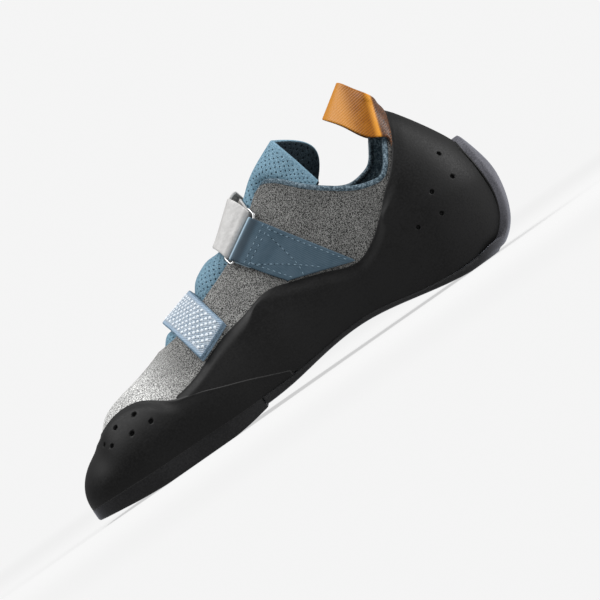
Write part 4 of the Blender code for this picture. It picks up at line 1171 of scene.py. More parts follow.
def tongue_points(ridge, share):
    """Points of the tongue's middle, for a row of shares at each ridge place."""
    lift, depth, lean, flare = (line(ridge) for line in tongue_columns)
    slot = slot_share(ridge, depth, lean)[:, None]
    side = np.where(share < 0, MEDIAL, LATERAL)
    drop = depth[:, None] * share**2
    opened = flare[:, None] * np.sin(math.pi * np.clip(share, 0, 1) ** FLARE_BIAS)
    x = ridge[:, None] + lean[:, None] * drop + opened
    z = crown(ridge)[:, None] - drop
    swell = np.clip(1 - np.abs(share / slot) ** 3, 0.0, 1.0)
    raised = TONGUE_HIDDEN + (lift[:, None] - TONGUE_HIDDEN) * swell
    points = on_last(side, turn_of(x, z), z)
    return points + raised[..., None] * outward(side, points)


def even_ridge(step):
    """Places along the ridge a step apart on the tongue's middle line."""
    dense = np.linspace(TONGUE[0].ridge_x, TONGUE[-1].ridge_x, 400)
    run = lengths_along(tongue_points(dense, np.zeros((400, 1)))[:, 0])
    return np.interp(np.linspace(0, run[-1], round(run[-1] / step) + 1), run, dense)


print("tongue rows:", len(TONGUE))

# %% [markdown]
# The cells of the mesh are squares of one size, counted off along the ridge and from it
# to both sides. So each row of the tongue is walked in small steps first.

# %% Cells of the tongue
CELL, HALF_CELLS, DENSE = 1.75, 26, 321

ridge = even_ridge(CELL)
dense_share = np.linspace(-1.0, 1.0, DENSE)
dense = tongue_points(ridge, np.broadcast_to(dense_share, (len(ridge), DENSE)))
walked = run_lengths(dense, 1)
walked -= walked[:, DENSE // 2, None]
reach = np.arange(-HALF_CELLS, HALF_CELLS + 1) * CELL
share = np.stack([np.interp(reach, row, dense_share) for row in walked])
inside = (reach > walked[:, :1] - CELL) & (reach < walked[:, -1:] + CELL)
middle = tongue_points(ridge, share)
dense_normals = grid_normals(dense)
dense_normals *= np.sign(dense_normals[len(ridge) // 2, DENSE // 2, 2])
normals = unit(np.stack([
    np.stack([np.interp(reach, row, facing[:, k]) for k in range(3)], axis=-1)
    for row, facing in zip(walked, dense_normals)
]))
print("tongue cells:", middle.shape[:2])

# %% [markdown]
# The foam is a padded sheet in the middle of the tongue. The mesh over it is darker on
# its inner face, which is painted shade.

# %% Foam and mesh cloth
FOAM_WALL = 1.5

tones = (0.004, 0.007, 0.010, 1), (0.015, 0.025, 0.033, 1)
foam = two_tone("tongue_foam", 0.95, 0.1, flecks, tones, Size=0.0006, Softness=0.2)

mesh_cloth, tree, inputs, at = material("blue_mesh", 0.85, 0.2)
yarn = effect(tree, flecks, Vector=at["Object"], Size=0.0006, Softness=0.22)
outside = blend(tree, yarn["Fleck"], (0.075, 0.150, 0.205, 1), (0.195, 0.315, 0.395, 1))
# Painted shade: the inner face of the mesh gets these darker tones.
shaded = blend(tree, yarn["Fleck"], (0.014, 0.025, 0.034, 1), (0.038, 0.060, 0.076, 1))
inner_face = put(tree, "ShaderNodeAttribute", attribute_name="inner").outputs["Fac"]
feed(tree, inputs["Base Color"], blend(tree, inner_face, outside, shaded))
bump(tree, inputs, yarn["Fleck"], 0.45, 0.0004)

rows = dense[:, ::4], dense_normals[:, ::4]
mesh = thick_sheet("foam", *rows, FOAM_WALL / 2, -FOAM_WALL / 2, [foam])
tongue_foam = show("tongue_foam", mesh, "blue_mesh", "tongue")

# %% [markdown]
# The mesh runs up the outer face, turns over the top edge and comes some way down inside.
# Every second cell is marked to be opened, except round the turned edge.

# %% Mesh over both faces
INNER_ROWS, TURN_ANGLES = 26, (0.6, 1.57, 2.54)

half = TONGUE_WALL / 2
away = unit(middle[-1] - middle[-2])
turns = [normals[-1] * math.cos(a) + away * math.sin(a) for a in TURN_ANGLES]
turn_rows = middle[-1] + half * np.stack(turns)
back_rows = slice(-1, -INNER_ROWS - 1, -1)
inner_rows = (middle - half * normals)[back_rows]
skin_rows = np.concatenate([middle + half * normals, turn_rows, inner_rows])
turn_inside = np.repeat(inside[-1:], len(TURN_ANGLES), axis=0)
row_inside = np.concatenate([inside, turn_inside, inside[back_rows]])
index = np.arange(skin_rows[..., 0].size).reshape(skin_rows.shape[:2])
quads = grid_quads(index, False)
kept = row_inside.reshape(-1)[quads].all(axis=1)
cell_row, cell_column = np.divmod(np.arange(len(quads)), skin_rows.shape[1] - 1)
at_turn = (cell_row >= len(ridge) - 2) & (cell_row <= len(ridge) + 2)
opened = ((cell_row + cell_column) % 2 == 0) & ~at_turn
inner_side = (cell_row > len(ridge) + 1).astype(np.float32)

among = len(ridge) // 2, len(reach) // 2
corner = skin_rows.reshape(-1, 3)[quads[among[0] * (len(reach) - 1) + among[1]]]
if np.cross(corner[1] - corner[0], corner[3] - corner[0]) @ normals[among] < 0:
    quads = quads[:, ::-1]
skin_mesh = bpy.data.meshes.new("tongue_cells")
skin_mesh.from_pydata((skin_rows.reshape(-1, 3) * MM).tolist(), [], quads[kept].tolist())
for name, kind, values in (("open", "BOOLEAN", opened), ("inner", "FLOAT", inner_side)):
    skin_mesh.attributes.new(name, kind, "FACE").data.foreach_set("value", values[kept])
print("cells in use:", int(kept.sum()))

# %% [markdown]
# The tree draws each marked cell in to a hole, sinks it to give the hole a wall, takes
# its floor away and rounds the whole sheet.

# %% Perforated mesh
def nodes_tree(name, inputs):
    """A new Geometry Nodes tree with float inputs and a Material, and its ends."""
    sockets = {"Geometry": "Geometry", **inputs, "Material": "Material"}
    return new_tree("GeometryNodeTree", name, sockets, {"Geometry": "Geometry"})


def end_tree(tree, geometry, given, result):
    """Ends a tree with a smooth mesh in the given material."""
    smooth = put(tree, "GeometryNodeSetShadeSmooth", {"Geometry": geometry}).outputs[0]
    inputs = {"Geometry": smooth, "Material": given["Material"]}
    tree.links.new(put(tree, "GeometryNodeSetMaterial", inputs).outputs[0], result["Geometry"])


def grown(obj, tree, **values):
    """The plain mesh that a Geometry Nodes tree makes of a helper."""
    modifier = obj.modifiers.new("Nodes", "NODES")
    modifier.node_group = tree
    for item in tree.interface.items_tree:
        if item.in_out == "INPUT" and item.name in values:
            modifier[item.identifier] = values[item.name]
    return baked(obj)


perforate, given, result = nodes_tree("Perforate", {"Hole": 0.42, "Wall": 0.0005})
chosen = put(perforate, "GeometryNodeInputNamedAttribute", {"Name": "open"}, data_type="BOOLEAN")
each = {"Mesh": given["Geometry"], "Selection": chosen.outputs[0], "Individual": True}
raised = put(perforate, "GeometryNodeExtrudeMesh", {**each, "Offset Scale": 0.0}).outputs
tops = {"Geometry": raised["Mesh"], "Selection": raised["Top"], "Scale": given["Hole"]}
drawn = put(perforate, "GeometryNodeScaleElements", tops).outputs[0]
inward = maths(perforate, "MULTIPLY", given["Wall"], -1.0)
each = {"Mesh": drawn, "Selection": raised["Top"], "Individual": True}
sunk = put(perforate, "GeometryNodeExtrudeMesh", {**each, "Offset Scale": inward}).outputs
floors = {"Geometry": sunk["Mesh"], "Selection": sunk["Top"]}
holed = put(perforate, "GeometryNodeDeleteGeometry", floors, domain="FACE").outputs[0]
rounded = put(perforate, "GeometryNodeSubdivisionSurface", {"Mesh": holed, "Level": 1}).outputs[0]
end_tree(perforate, rounded, given, result)
mesh = grown(new_object("tongue_cells", skin_mesh), perforate, Hole=0.47, Material=mesh_cloth)
show("tongue_mesh", mesh, "blue_mesh", "tongue")

# %% [markdown]
# ## The collar
# A strip of the lining cloth is rolled over the collar's edge and sewn down, so the
# ankle never meets a cut edge. It is a soft bar along the same line as the edge of the
# upper, thinner where it starts on both sides of the tongue.

# %% Rolled collar
BINDING_RADIUS, BINDING_SUNK, BINDING_TIP = 1.4, 0.2, 0.35
BINDING_SWELL, BINDING_TAPER, BACK_SHIFT = 0.15, 5.0, (-0.5, 0.0, 0.7)

tones = (0.030, 0.052, 0.070, 1), (0.15, 0.205, 0.245, 1)
relief = 0.7, 0.0006
roll_cloth = two_tone("collar_cloth", 0.9, 0.2, flecks, tones, relief, Size=0.0011, Softness=0.12)

rims = []
for side in (MEDIAL, LATERAL):
    edge = on_last(side, *spread(side, *throat_and_collar(side), 220))
    edge = edge[edge[:, 0] > BINDING_START]
    out = outward(side, edge)
    up = unit(np.cross(np.gradient(edge, axis=0), out) * side)
    rims.append(edge - out * UPPER_WALL / 2 + up * (BINDING_RADIUS - BINDING_SUNK))
back = (rims[0][-1] + rims[1][-1]) / 2 + np.array(BACK_SHIFT)
line = np.concatenate([rims[0][:-3], [back], rims[1][-4::-1]])
ends = np.minimum(lengths_along(line), lengths_along(line[::-1])[::-1])
full = BINDING_RADIUS + BINDING_SWELL
radii = BINDING_TIP + (full - BINDING_TIP) * smoothstep(ends / BINDING_TAPER)
mesh = tube("collar_roll", line, radii, False, roll_cloth)
show("collar_roll", mesh, "blue_mesh", "collar_binding")

# %% [markdown]
# ## Straps and rings
# Each strap is webbing sewn into the far side of the upper, drawn through a wire ring
# and folded back on itself, where hook and loop hold it. The ring hangs in a folded
# patch that is sewn to the upper. A strap is a ribbon along a path of places, each given
# by its reach from the ridge and its lift over the upper.

# %% Strips on the last
STRAP_DEPTH = 54.0


class Strip:
    """A strip of the last. reach is measured along it and across over its width."""

    def __init__(self, place, first, last):
        self.place = place
        self.shares = np.linspace(first, last, 600)
        side, x, z = place(self.shares, 0 * self.shares)
        run = lengths_along(on_last(side, turn_of(x, z), z))
        self.run = run - np.interp(0.0, self.shares, run)

    def at(self, reach, across, lift):
        side, x, z = self.place(np.interp(reach, self.run, self.shares), across)
        points = on_last(side, turn_of(x, z), z)
        return points + lift[..., None] * outward(side, points)


def strap_strip(ridge_x, lean):
    """The strip across the ridge at ridge_x, running back by lean as it goes down."""
    along_ridge = math.cos(math.atan(float(crown(ridge_x + 1) - crown(ridge_x - 1)) / 2))

    def place(share, across):
        drop = STRAP_DEPTH * share**2
        start = ridge_x + across * along_ridge
        return np.where(share < 0, MEDIAL, LATERAL), start + lean * drop, crown(start) - drop

    return Strip(place, -1.0, 1.0)


def anchor_strip(side, top, bottom):
    """The strip between a line under a ring and a line above the rubber, in side view."""
    (front_top, back_top), (front_low, back_low) = np.array(top), np.array(bottom)
    lengths = [math.dist(front_top, front_low), math.dist(back_top, back_low)]

    def place(share, across):
        back = (np.asarray(across) + 1) / 2
        stretch = np.mean(lengths) / (lengths[0] + (lengths[1] - lengths[0]) * back)
        share = share * stretch + np.clip(share, 0.0, None) ** 2 * (1 - stretch)
        back, share = back[..., None], share[..., None]
        upper_spot = front_top + (back_top - front_top) * back
        lower_spot = front_low + (back_low - front_low) * back
        spot = upper_spot + (lower_spot - upper_spot) * share
        return np.full(spot.shape[:-1], side), spot[..., 0], spot[..., 1]

    return Strip(place, -0.3, 1.0)


print("straps reach down", STRAP_DEPTH, "mm")

# %% [markdown]
# A ribbon runs along such a strip, round the bar of a ring and back over itself. Its map
# is in metres, so that the threads of the cloth keep their size.

# %% Ribbons, folds and rings
WIRE, RING_BARS, RING_LIFT, RING_CORNER, RING_ROOM = 1.8, 6.4, 3.0, 1.9, 0.8
STRAP_WALL, FOLD_ROOM, PATH_STEP = 1.4, 0.35, 0.9
FOLD = WIRE / 2 + FOLD_ROOM + STRAP_WALL / 2
FOLD_FRONT, FOLD_BACK, FOLD_LEAD, FOLD_STEPS = 1.2, 0.8, 0.9, 15
PATCH_TUCKED, PATCH_SETTLED = 0.22, 0.42


def run_path(first, last, lifts):
    """Places (reach, lift) from first to last, about a step apart."""
    count = round(abs(last - first) / PATH_STEP) + 1
    return [(reach, float(lifts(reach))) for reach in np.linspace(first, last, count)]


def fold_round(bar, direction):
    """Places (reach, lift) of a fold round a ring's bar, from under it to over it."""
    angles = np.radians(np.linspace(-90, 90, FOLD_STEPS))
    return [(bar + direction * FOLD * math.cos(a), RING_LIFT + FOLD * math.sin(a)) for a in angles]


def none(reach, lift):
    return 0 * reach


def ribbon_grid(strip, path, half, tilt=none, shift=none, count=22):
    """Points and normals of a ribbon along a path of (reach, lift) places on a strip.

    Its last layer is outside. tilt raises its back edge and shift moves it towards the heel.
    """
    reach, lift = np.array(path).T
    across = shift(reach, lift)[:, None] + half * np.linspace(-1.0, 1.0, count + 1)
    lifts = lift[:, None] + tilt(reach, lift)[:, None] * across
    grid = strip.at(reach[:, None] + 0 * across, across, lifts)
    normals, middle = grid_normals(grid), count // 2
    above = strip.at(reach[-1:], across[-1, middle, None], lift[-1:] + 1.0)[0] - grid[-1, middle]
    return grid, normals * np.sign(normals[-1, middle] @ above)


def ribbon(name, grid, normals, finishes, start=0):
    """A ribbon whose map runs in metres across it and along it from its start row."""
    width = np.linalg.norm(grid[:, -1] - grid[:, 0], axis=-1, keepdims=True)
    run = run_lengths(grid, 0)
    uv = np.stack([np.linspace(-0.5, 0.5, grid.shape[1]) * width, run - run[start]], axis=-1)
    return thick_sheet(name, grid, normals, STRAP_WALL / 2, -STRAP_WALL / 2, finishes, uv=uv)


def ring_loop(strip, middle, width):
    """Rounded rectangle of wire lying on a strip round the two bars."""
    half_bars, half_long = RING_BARS / 2, (width + WIRE) / 2 + RING_ROOM
    spots = []
    for quarter, (a, b) in enumerate(((1, 1), (-1, 1), (-1, -1), (1, -1))):
        for angle in np.linspace(0, math.pi / 2, 9) + quarter * math.pi / 2:
            reach = middle + a * (half_bars - RING_CORNER) + RING_CORNER * math.cos(angle)
            spots.append((reach, b * (half_long - RING_CORNER) + RING_CORNER * math.sin(angle)))
    corners = np.array(spots + spots[:1])
    run = lengths_along(corners)
    even = np.linspace(0, run[-1], 161)[:-1]
    reach, across = (np.interp(even, run, corners[:, k]) for k in (0, 1))
    return strip.at(reach, across, np.full(len(even), RING_LIFT))


def strap_layers(rows, bar):
    """Lift of a strap's lower and upper layer along its reach, from rows and the ring's bar."""
    reach, under, over = np.array(sorted([*rows, (bar, RING_LIFT - FOLD, RING_LIFT + FOLD)])).T
    return eased(reach, under), eased(reach, over)


def patch_grid(side, top, bottom):
    """A sewn patch folded over a ring's bar.

    Gives its points, its normals, its row at the fold and the first row of its outer face.
    """
    strip = anchor_strip(side, top, bottom)
    length = strip.run[-1]
    tucked, settled = PATCH_TUCKED * length, PATCH_SETTLED * length
    places = [0.0, 0.6 * tucked, tucked, settled, length]
    over = eased(places, [RING_LIFT + FOLD, 3.5, 2.9, 1.2, 1.1])
    path = run_path(tucked, FOLD_LEAD, lambda reach: RING_LIFT - FOLD)
    nose = len(path) + FOLD_STEPS // 2
    path += fold_round(0.0, -1)
    outer = len(path)
    path += run_path(FOLD_LEAD, length, over)
    return *ribbon_grid(strip, path, 1.0), nose, outer


print("strap fold radius:", FOLD, "mm")

# %% [markdown]
# Two small trees repeat what a sewing machine and a loom repeat. One lays a stitch at
# every step along a seam, the other sets a raised dot on each point it is given. Both
# read the direction that faces out from an attribute, so thread and dots lie on the cloth.

# %% Trees for stitches and dots
STITCH_STEP = 2.9
ALIGN = "FunctionNodeAlignRotationToVector"


def bead(tree, *sizes):
    """A small ball drawn out to these sizes."""
    inputs = {"Segments": 8, "Rings": 5, "Radius": 1.0}
    ball = put(tree, "GeometryNodeMeshUVSphere", inputs).outputs[0]
    drawn_out = put(tree, "ShaderNodeCombineXYZ", dict(enumerate(sizes))).outputs[0]
    return put(tree, "GeometryNodeTransform", {"Geometry": ball, "Scale": drawn_out}).outputs[0]


def facing_of(tree):
    inputs = {"Name": "facing"}
    made = put(tree, "GeometryNodeInputNamedAttribute", inputs, data_type="FLOAT_VECTOR")
    return made.outputs[0]


def set_out(tree, points, piece, turned, given, result):
    """Puts a piece on every point and ends the tree with one real, painted mesh."""
    inputs = {"Points": points, "Instance": piece, "Rotation": turned}
    placed = put(tree, "GeometryNodeInstanceOnPoints", inputs).outputs[0]
    real = put(tree, "GeometryNodeRealizeInstances", {"Geometry": placed}).outputs[0]
    end_tree(tree, real, given, result)


sizes = {"Step": STITCH_STEP * MM, "Reach": 0.0008, "Thread": 0.00024}
stitch_run, given, result = nodes_tree("Stitch run", sizes)
seam = put(stitch_run, "GeometryNodeMeshToCurve", {"Mesh": given["Geometry"]}).outputs[0]
steps = {"Curve": seam, "Length": given["Step"]}
spots = put(stitch_run, "GeometryNodeCurveToPoints", steps, mode="LENGTH").outputs
ahead = put(stitch_run, ALIGN, {"Vector": spots["Tangent"]}, axis="X").outputs[0]
upright = {"Rotation": ahead, "Vector": facing_of(stitch_run)}
turned = put(stitch_run, ALIGN, upright, axis="Z", pivot_axis="X").outputs[0]
stitch = bead(stitch_run, given["Reach"], given["Thread"], given["Thread"])
set_out(stitch_run, spots["Points"], stitch, turned, given, result)

dot_field, given, result = nodes_tree("Dot field", {"Radius": 0.00085, "Height": 0.00045})
dot = bead(dot_field, given["Radius"], given["Radius"], given["Height"])
turned = put(dot_field, ALIGN, {"Vector": facing_of(dot_field)}, axis="Z").outputs[0]
set_out(dot_field, given["Geometry"], dot, turned, given, result)
print("trees:", stitch_run.name, "and", dot_field.name)

# %% [markdown]
# The trees are given guides: lines or single points that lie on a face, each with the
# direction that faces out there.

# %% Guides on a face
def between(grid, row, column):
    """Values of a grid at rows and columns that need not be whole."""
    r = np.clip(np.floor(row).astype(int), 0, grid.shape[0] - 2)
    c = np.clip(np.floor(column).astype(int), 0, grid.shape[1] - 2)
    down, right = (row - r)[..., None], (column - c)[..., None]
    first = grid[r, c] + (grid[r, c + 1] - grid[r, c]) * right
    second = grid[r + 1, c] + (grid[r + 1, c + 1] - grid[r + 1, c]) * right
    return first + (second - first) * down


def guide(name, lines):
    """A helper made of lines, each given as its points and the directions that face out there."""
    points, facing = (np.concatenate(parts) for parts in zip(*lines))
    ends = np.cumsum([len(spots) for spots, _ in lines])
    edges = [(i, i + 1) for i in range(len(points) - 1) if i + 1 not in ends]
    mesh = bpy.data.meshes.new(name)
    mesh.from_pydata((points * MM).tolist(), edges, [])
    out = mesh.attributes.new("facing", "FLOAT_VECTOR", "POINT")
    out.data.foreach_set("vector", facing.ravel())
    return new_object(name, mesh)


def seam_lines(grid, normals, seams, lift, lead=0.0):
    """Lines on a grid between places given across it, from -1 to 1, and as a share of its length.

    lead is how far after its place a line starts, in millimetres.
    """

    def places(seam, walk):
        share = seam.share + (seam.to_share - seam.share) * walk
        across = seam.across + (seam.to_across - seam.across) * walk
        return share * (grid.shape[0] - 1), (1 + across) / 2 * (grid.shape[1] - 1)

    lines = []
    for seam in seams:
        start, end = between(grid, *places(seam, np.array([0.0, 1.0])))
        spots = places(seam, np.linspace(lead / np.linalg.norm(end - start), 1.0, 40))
        out = unit(between(normals, *spots))
        lines.append((between(grid, *spots) + lift * out, out))
    return lines


print("guides ready")

# %% [markdown]
# The grey strap is smooth on its face and has a soft pile on its back. Its upper layer
# arches off the lower one near the ring, and its back edge is tilted up over the ridge.

# %% Grey strap
UPPER_STRAP_WIDTH, UPPER_RING_WIDTH, UPPER_RING_REACH = 24.6, 24.0, 19.0
GREY_TILT, GREY_LEVEL = 0.16, 26.0

UPPER_STRAP_LIFTS = table(
    "reach under over",
    (-12.0, 1.15, 6.0), (-8.0, 1.15, 6.4), (-4.0, 1.15, 5.6), (0.0, 1.15, 4.6),
    (6.0, 1.15, 4.7), (11.0, 1.2, 5.2), (20.0, 1.2, 4.0), (30.0, 1.15, 3.1), (60.0, 1.1, 2.9),
)
UPPER_STRAP_SHIFTS = table(
    "reach under over",
    (-24.0, 0.0, 0.0), (-16.0, 0.0, 0.0), (0.0, 0.8, -1.5), (11.0, 0.8, 4.0),
    (30.0, 0.8, 3.0), (60.0, 0.8, 1.5),
)
tones = (0.36, 0.355, 0.35, 1), (0.44, 0.435, 0.43, 1)
relief = 0.25, 0.0006
strap_cloth = two_tone("grey_strap", 0.55, 0.35, flecks, tones, relief, Size=0.004, Softness=0.25)
# The pile on the back is darker and browner than the face: partly its own tone, partly painted
# shade for the strap's underside.
tones = (0.13, 0.125, 0.12, 1), (0.30, 0.29, 0.28, 1)
relief = 0.6, 0.0005
strap_back = two_tone("strap_pile", 0.95, 0.1, flecks, tones, relief, Size=0.0007, Softness=0.2)

upper_strip = strap_strip(7.0, 0.1)
bar = -UPPER_RING_REACH + RING_BARS / 2
under, over = strap_layers(UPPER_STRAP_LIFTS, bar)
path = run_path(58.0, bar + FOLD_LEAD, under) + fold_round(bar, -1)
path += run_path(bar + FOLD_LEAD, 42.0, over)


def grey_tilt(reach, lift):
    risen = smoothstep((reach - bar) / -bar)
    return GREY_TILT * (lift > RING_LIFT) * risen * smoothstep(2 * (1 - reach / GREY_LEVEL))


def grey_shift(reach, lift):
    places, under, over = np.array(UPPER_STRAP_SHIFTS).T
    return np.where(lift > RING_LIFT, eased(places, over)(reach), eased(places, under)(reach))


grid, normals = ribbon_grid(upper_strip, path, UPPER_STRAP_WIDTH / 2, grey_tilt, grey_shift)
mesh = ribbon("instep_strap", grid, normals, [strap_cloth, strap_back, strap_cloth])
show("instep_strap", mesh, "grey_strap", "upper_strap")

# %% [markdown]
# Each ring of drawn wire hangs in a patch of blue twill, which is folded round it and sewn
# down with pale thread: two rows hold the fold and one runs along each edge. On the patch
# of the grey strap two more cross in the middle, where the pull is strongest.

# %% Wire, twill and thread
wire, tree, inputs, at = material("steel_wire", 0.22, 0.5, 1.0)
drawn = effect(tree, flecks, Vector=at["Object"], Size=0.002, Softness=0.3)
feed(tree, inputs["Base Color"], blend(tree, drawn["Fleck"], grey(0.20), grey(0.38)))
feed(tree, inputs["Roughness"], ramp(tree, drawn["Fleck"], 0.0, 1.0, 0.16, 0.32))

patch_cloth, tree, inputs, at = material("blue_anchor", 0.7, 0.3)
weave = effect(tree, twill, Vector=at["UV"], Pitch=0.0009, Lean=0.9, Thread=0.0007)
wear = effect(tree, flecks, Vector=at["Object"], Size=0.005, Softness=0.3)
woven = blend(tree, weave["Rib"], (0.026, 0.052, 0.076, 1), (0.040, 0.076, 0.106, 1))
woven = blend(tree, ramp(tree, wear["Fleck"], 0, 1, 0, 0.3), woven, (0.07, 0.108, 0.142, 1))
# Painted highlight and shade: a pale band over the fold round the ring, then a dark band just past
# it where the cloth dips.
from_fold = put(tree, "ShaderNodeSeparateXYZ", {0: at["UV"]}).outputs[1]
below_fold = ramp(tree, from_fold, 0.0028, 0.0042)
before_face = ramp(tree, from_fold, 0.0085, 0.0058, 0, 0.7)
painted_crease_shade = maths(tree, "MULTIPLY", below_fold, before_face)
woven = blend(tree, painted_crease_shade, woven, (0.014, 0.024, 0.035, 1))
painted_fold_highlight = ramp(tree, from_fold, 0.0031, 0.0022)
feed(tree, inputs["Base Color"], blend(tree, painted_fold_highlight, woven, (0.24, 0.33, 0.40, 1)))
bump(tree, inputs, weave["Rib"], 0.25, 0.0003)

tones = (0.08, 0.13, 0.17, 1), (0.22, 0.31, 0.38, 1)
thread = two_tone("pale_thread", 0.7, 0.3, flecks, tones, Size=0.0004, Softness=0.2)
# Painted shade: the needle holes are near-black beads set a little into the patch between the
# stitches.
tones = (0.006, 0.010, 0.014, 1), (0.02, 0.03, 0.04, 1)
needle = two_tone("needle_hole", 0.9, 0.1, flecks, tones, Size=0.0004, Softness=0.2)
print("ring finishes:", wire.name, patch_cloth.name, thread.name, needle.name)

# %% Rings in their sewn patches
WIRE_SEEN, STITCH_LIFT, HOLE_DEPTH = 0.72, 0.05, 0.12

PATCH_SEAMS = table(
    "across share to_across to_share",
    (-0.93, 0.13, 0.93, 0.13), (-0.93, 0.19, 0.93, 0.19), (0.86, 0.22, 0.90, 0.95),
    (-0.86, 0.22, -0.82, 0.93), (-0.88, 0.24, 0.10, 0.93), (0.60, 0.24, -0.46, 0.95),
)


def sew(name, face, face_normals, seams):
    """Stitches along seams on a patch, and near-black beads between them as painted shade in the
    needle holes.
    """
    lines = seam_lines(face, face_normals, seams, STRAP_WALL / 2 + STITCH_LIFT)
    sewn = grown(guide("seams", lines), stitch_run, Material=thread)
    show(name + "_stitches", sewn, "blue_anchor")
    lines = seam_lines(face, face_normals, seams, STRAP_WALL / 2 - HOLE_DEPTH, STITCH_STEP / 2)
    hole = {"Reach": 0.0004, "Thread": 0.00028, "Material": needle}
    show(name + "_needle_holes", grown(guide("holes", lines), stitch_run, **hole), "blue_anchor")


def hang_ring(name, strip, reach, width, side, low_edge, nodes, seams):
    """A ring on a strip, and the patch that holds it down to low_edge, given in side view."""
    ring = tube(name + "_ring", ring_loop(strip, reach, width), WIRE_SEEN, True, wire)
    show(name + "_ring", ring, "steel_wire", nodes[0])
    bar = np.full(2, reach + math.copysign(RING_BARS / 2, reach))
    ends = np.array([FOLD_FRONT - width / 2, width / 2 - FOLD_BACK])
    top = strip.at(bar, ends, np.zeros(2))[:, [0, 2]]
    grid, normals, nose, outer = patch_grid(side, top, low_edge)
    mesh = ribbon(name + "_patch", grid, normals, [patch_cloth], nose)
    show(name + "_patch", mesh, "blue_anchor", nodes[1])
    sew(name, grid[outer:], normals[outer:], seams)


hang_ring(
    "instep", upper_strip, -UPPER_RING_REACH, UPPER_RING_WIDTH, MEDIAL,
    ((14.4, 48.3), (46.8, 37.6)), ("upper_ring", "upper_anchor"), PATCH_SEAMS,
)

# %% [markdown]
# The strap near the toe is a pale blue webbing with a plain woven edge. It starts on the
# inner side, and its ring is on the outer side.

# %% Woven strap
LOWER_STRAP_WIDTH, LOWER_RING_REACH = 20.0, 27.0
WOVEN_TILT, WOVEN_LEVEL = -0.13, 16.0

LOWER_STRAP_LIFTS = table(
    "reach under over",
    (-60.0, 1.1, 2.95), (-20.0, 1.15, 3.0), (0.0, 1.3, 4.8), (16.0, 1.2, 3.8),
)

web_cloth, tree, inputs, at = material("woven_strap", 0.85, 0.2)
weave = effect(tree, twill, Vector=at["UV"], Pitch=0.0013, Lean=0.785, Thread=0.0013)
across = maths(tree, "ABSOLUTE", put(tree, "ShaderNodeSeparateXYZ", {0: at["UV"]}).outputs[0])
selvedge = ramp(tree, across, 0.0084, 0.0092)
pick = effect(tree, flecks, Vector=at["Object"], Size=0.0008, Softness=0.12)
web = blend(tree, weave["Rib"], (0.12, 0.17, 0.23, 1), (0.24, 0.30, 0.37, 1))
web = blend(tree, pick["Fleck"], web, (0.38, 0.43, 0.48, 1))
feed(tree, inputs["Base Color"], blend(tree, selvedge, web, (0.25, 0.33, 0.42, 1)))
bump(tree, inputs, weave["Rib"], 0.7, 0.0005)

tones = (0.07, 0.12, 0.17, 1), (0.21, 0.29, 0.37, 1)
relief = 0.6, 0.0004
web_edge = two_tone("woven_strap_edge", 0.9, 0.15, flecks, tones, relief, Size=0.0006, Softness=0.2)

lower_strip = strap_strip(-36.9, 0.19)
bar = LOWER_RING_REACH - RING_BARS / 2
under, over = strap_layers(LOWER_STRAP_LIFTS, bar)
path = run_path(-42.0, bar - FOLD_LEAD, under) + fold_round(bar, 1)
outer = len(path)
path += run_path(bar - FOLD_LEAD, -41.0, over)


def woven_tilt(reach, lift):
    near_ridge = smoothstep(2 * (1 - np.abs(reach) / WOVEN_LEVEL))
    return WOVEN_TILT * (lift > (under(0.0) + over(0.0)) / 2) * near_ridge


grid, normals = ribbon_grid(lower_strip, path, LOWER_STRAP_WIDTH / 2, woven_tilt)
mesh = ribbon("toe_strap", grid, normals, [web_cloth, web_edge, web_edge])
show("toe_strap", mesh, "woven_strap", "lower_strap")

# %% [markdown]
# White dots stand out of the blue ground of this webbing, in rows that are set off by half
# a step, as a loom floats one thread over two. They are real bumps, so they catch light.

# %% Raised dots of the woven strap
DOT_STEP, DOT_COLUMNS, DOT_MARGIN = 1.85, 4, 1.6

tones = (0.48, 0.54, 0.60, 1), (0.78, 0.82, 0.86, 1)
relief = 0.4, 0.0002
dot_yarn = two_tone("white_yarn", 0.8, 0.25, flecks, tones, relief, Size=0.0004, Softness=0.25)

face, face_normals = grid[outer:], normals[outer:]
run = run_lengths(face, 0)[:, face.shape[1] // 2]
dots = []
for i, place in enumerate(np.arange(2 * DOT_MARGIN, run[-1] - DOT_MARGIN, DOT_STEP)):
    steps = np.arange(-DOT_COLUMNS, DOT_COLUMNS + 1)
    steps = steps[(steps + i) % 2 == 0]
    row = np.full(len(steps), np.interp(place, run, np.arange(len(run))))
    across = (1 + 2 * steps * DOT_STEP / LOWER_STRAP_WIDTH) / 2 * (face.shape[1] - 1)
    out = unit(between(face_normals, row, across))
    spots = between(face, row, across) + STRAP_WALL / 2 * out
    dots += [(spots[[k]], out[[k]]) for k in range(len(steps))]
show("toe_strap_dots", grown(guide("dots", dots), dot_field, Material=dot_yarn), "woven_strap")

# %% Ring and patch of the woven strap
hang_ring(
    "toe", lower_strip, LOWER_RING_REACH, LOWER_STRAP_WIDTH, LATERAL,
    ((-45.0, 34.0), (-21.0, 38.0)), ("lower_ring", "lower_anchor"), PATCH_SEAMS[:4],
)

# %% [markdown]
# ## The pull loop
# An orange satin ribbon, folded over and sewn to both sides of the heel. Its rows are
# given in space above the collar and end on the last, so it stands up as a soft arch. It
# is darker and frayed where it is sewn on. Just above is a bright band of painted
# highlight, and its upper part is painted lighter, as painted light from above.

# %% Satin ribbon
LOOP_WORN, LOOP_AXIS = -0.0618, (-0.943, 0.0, 0.333)

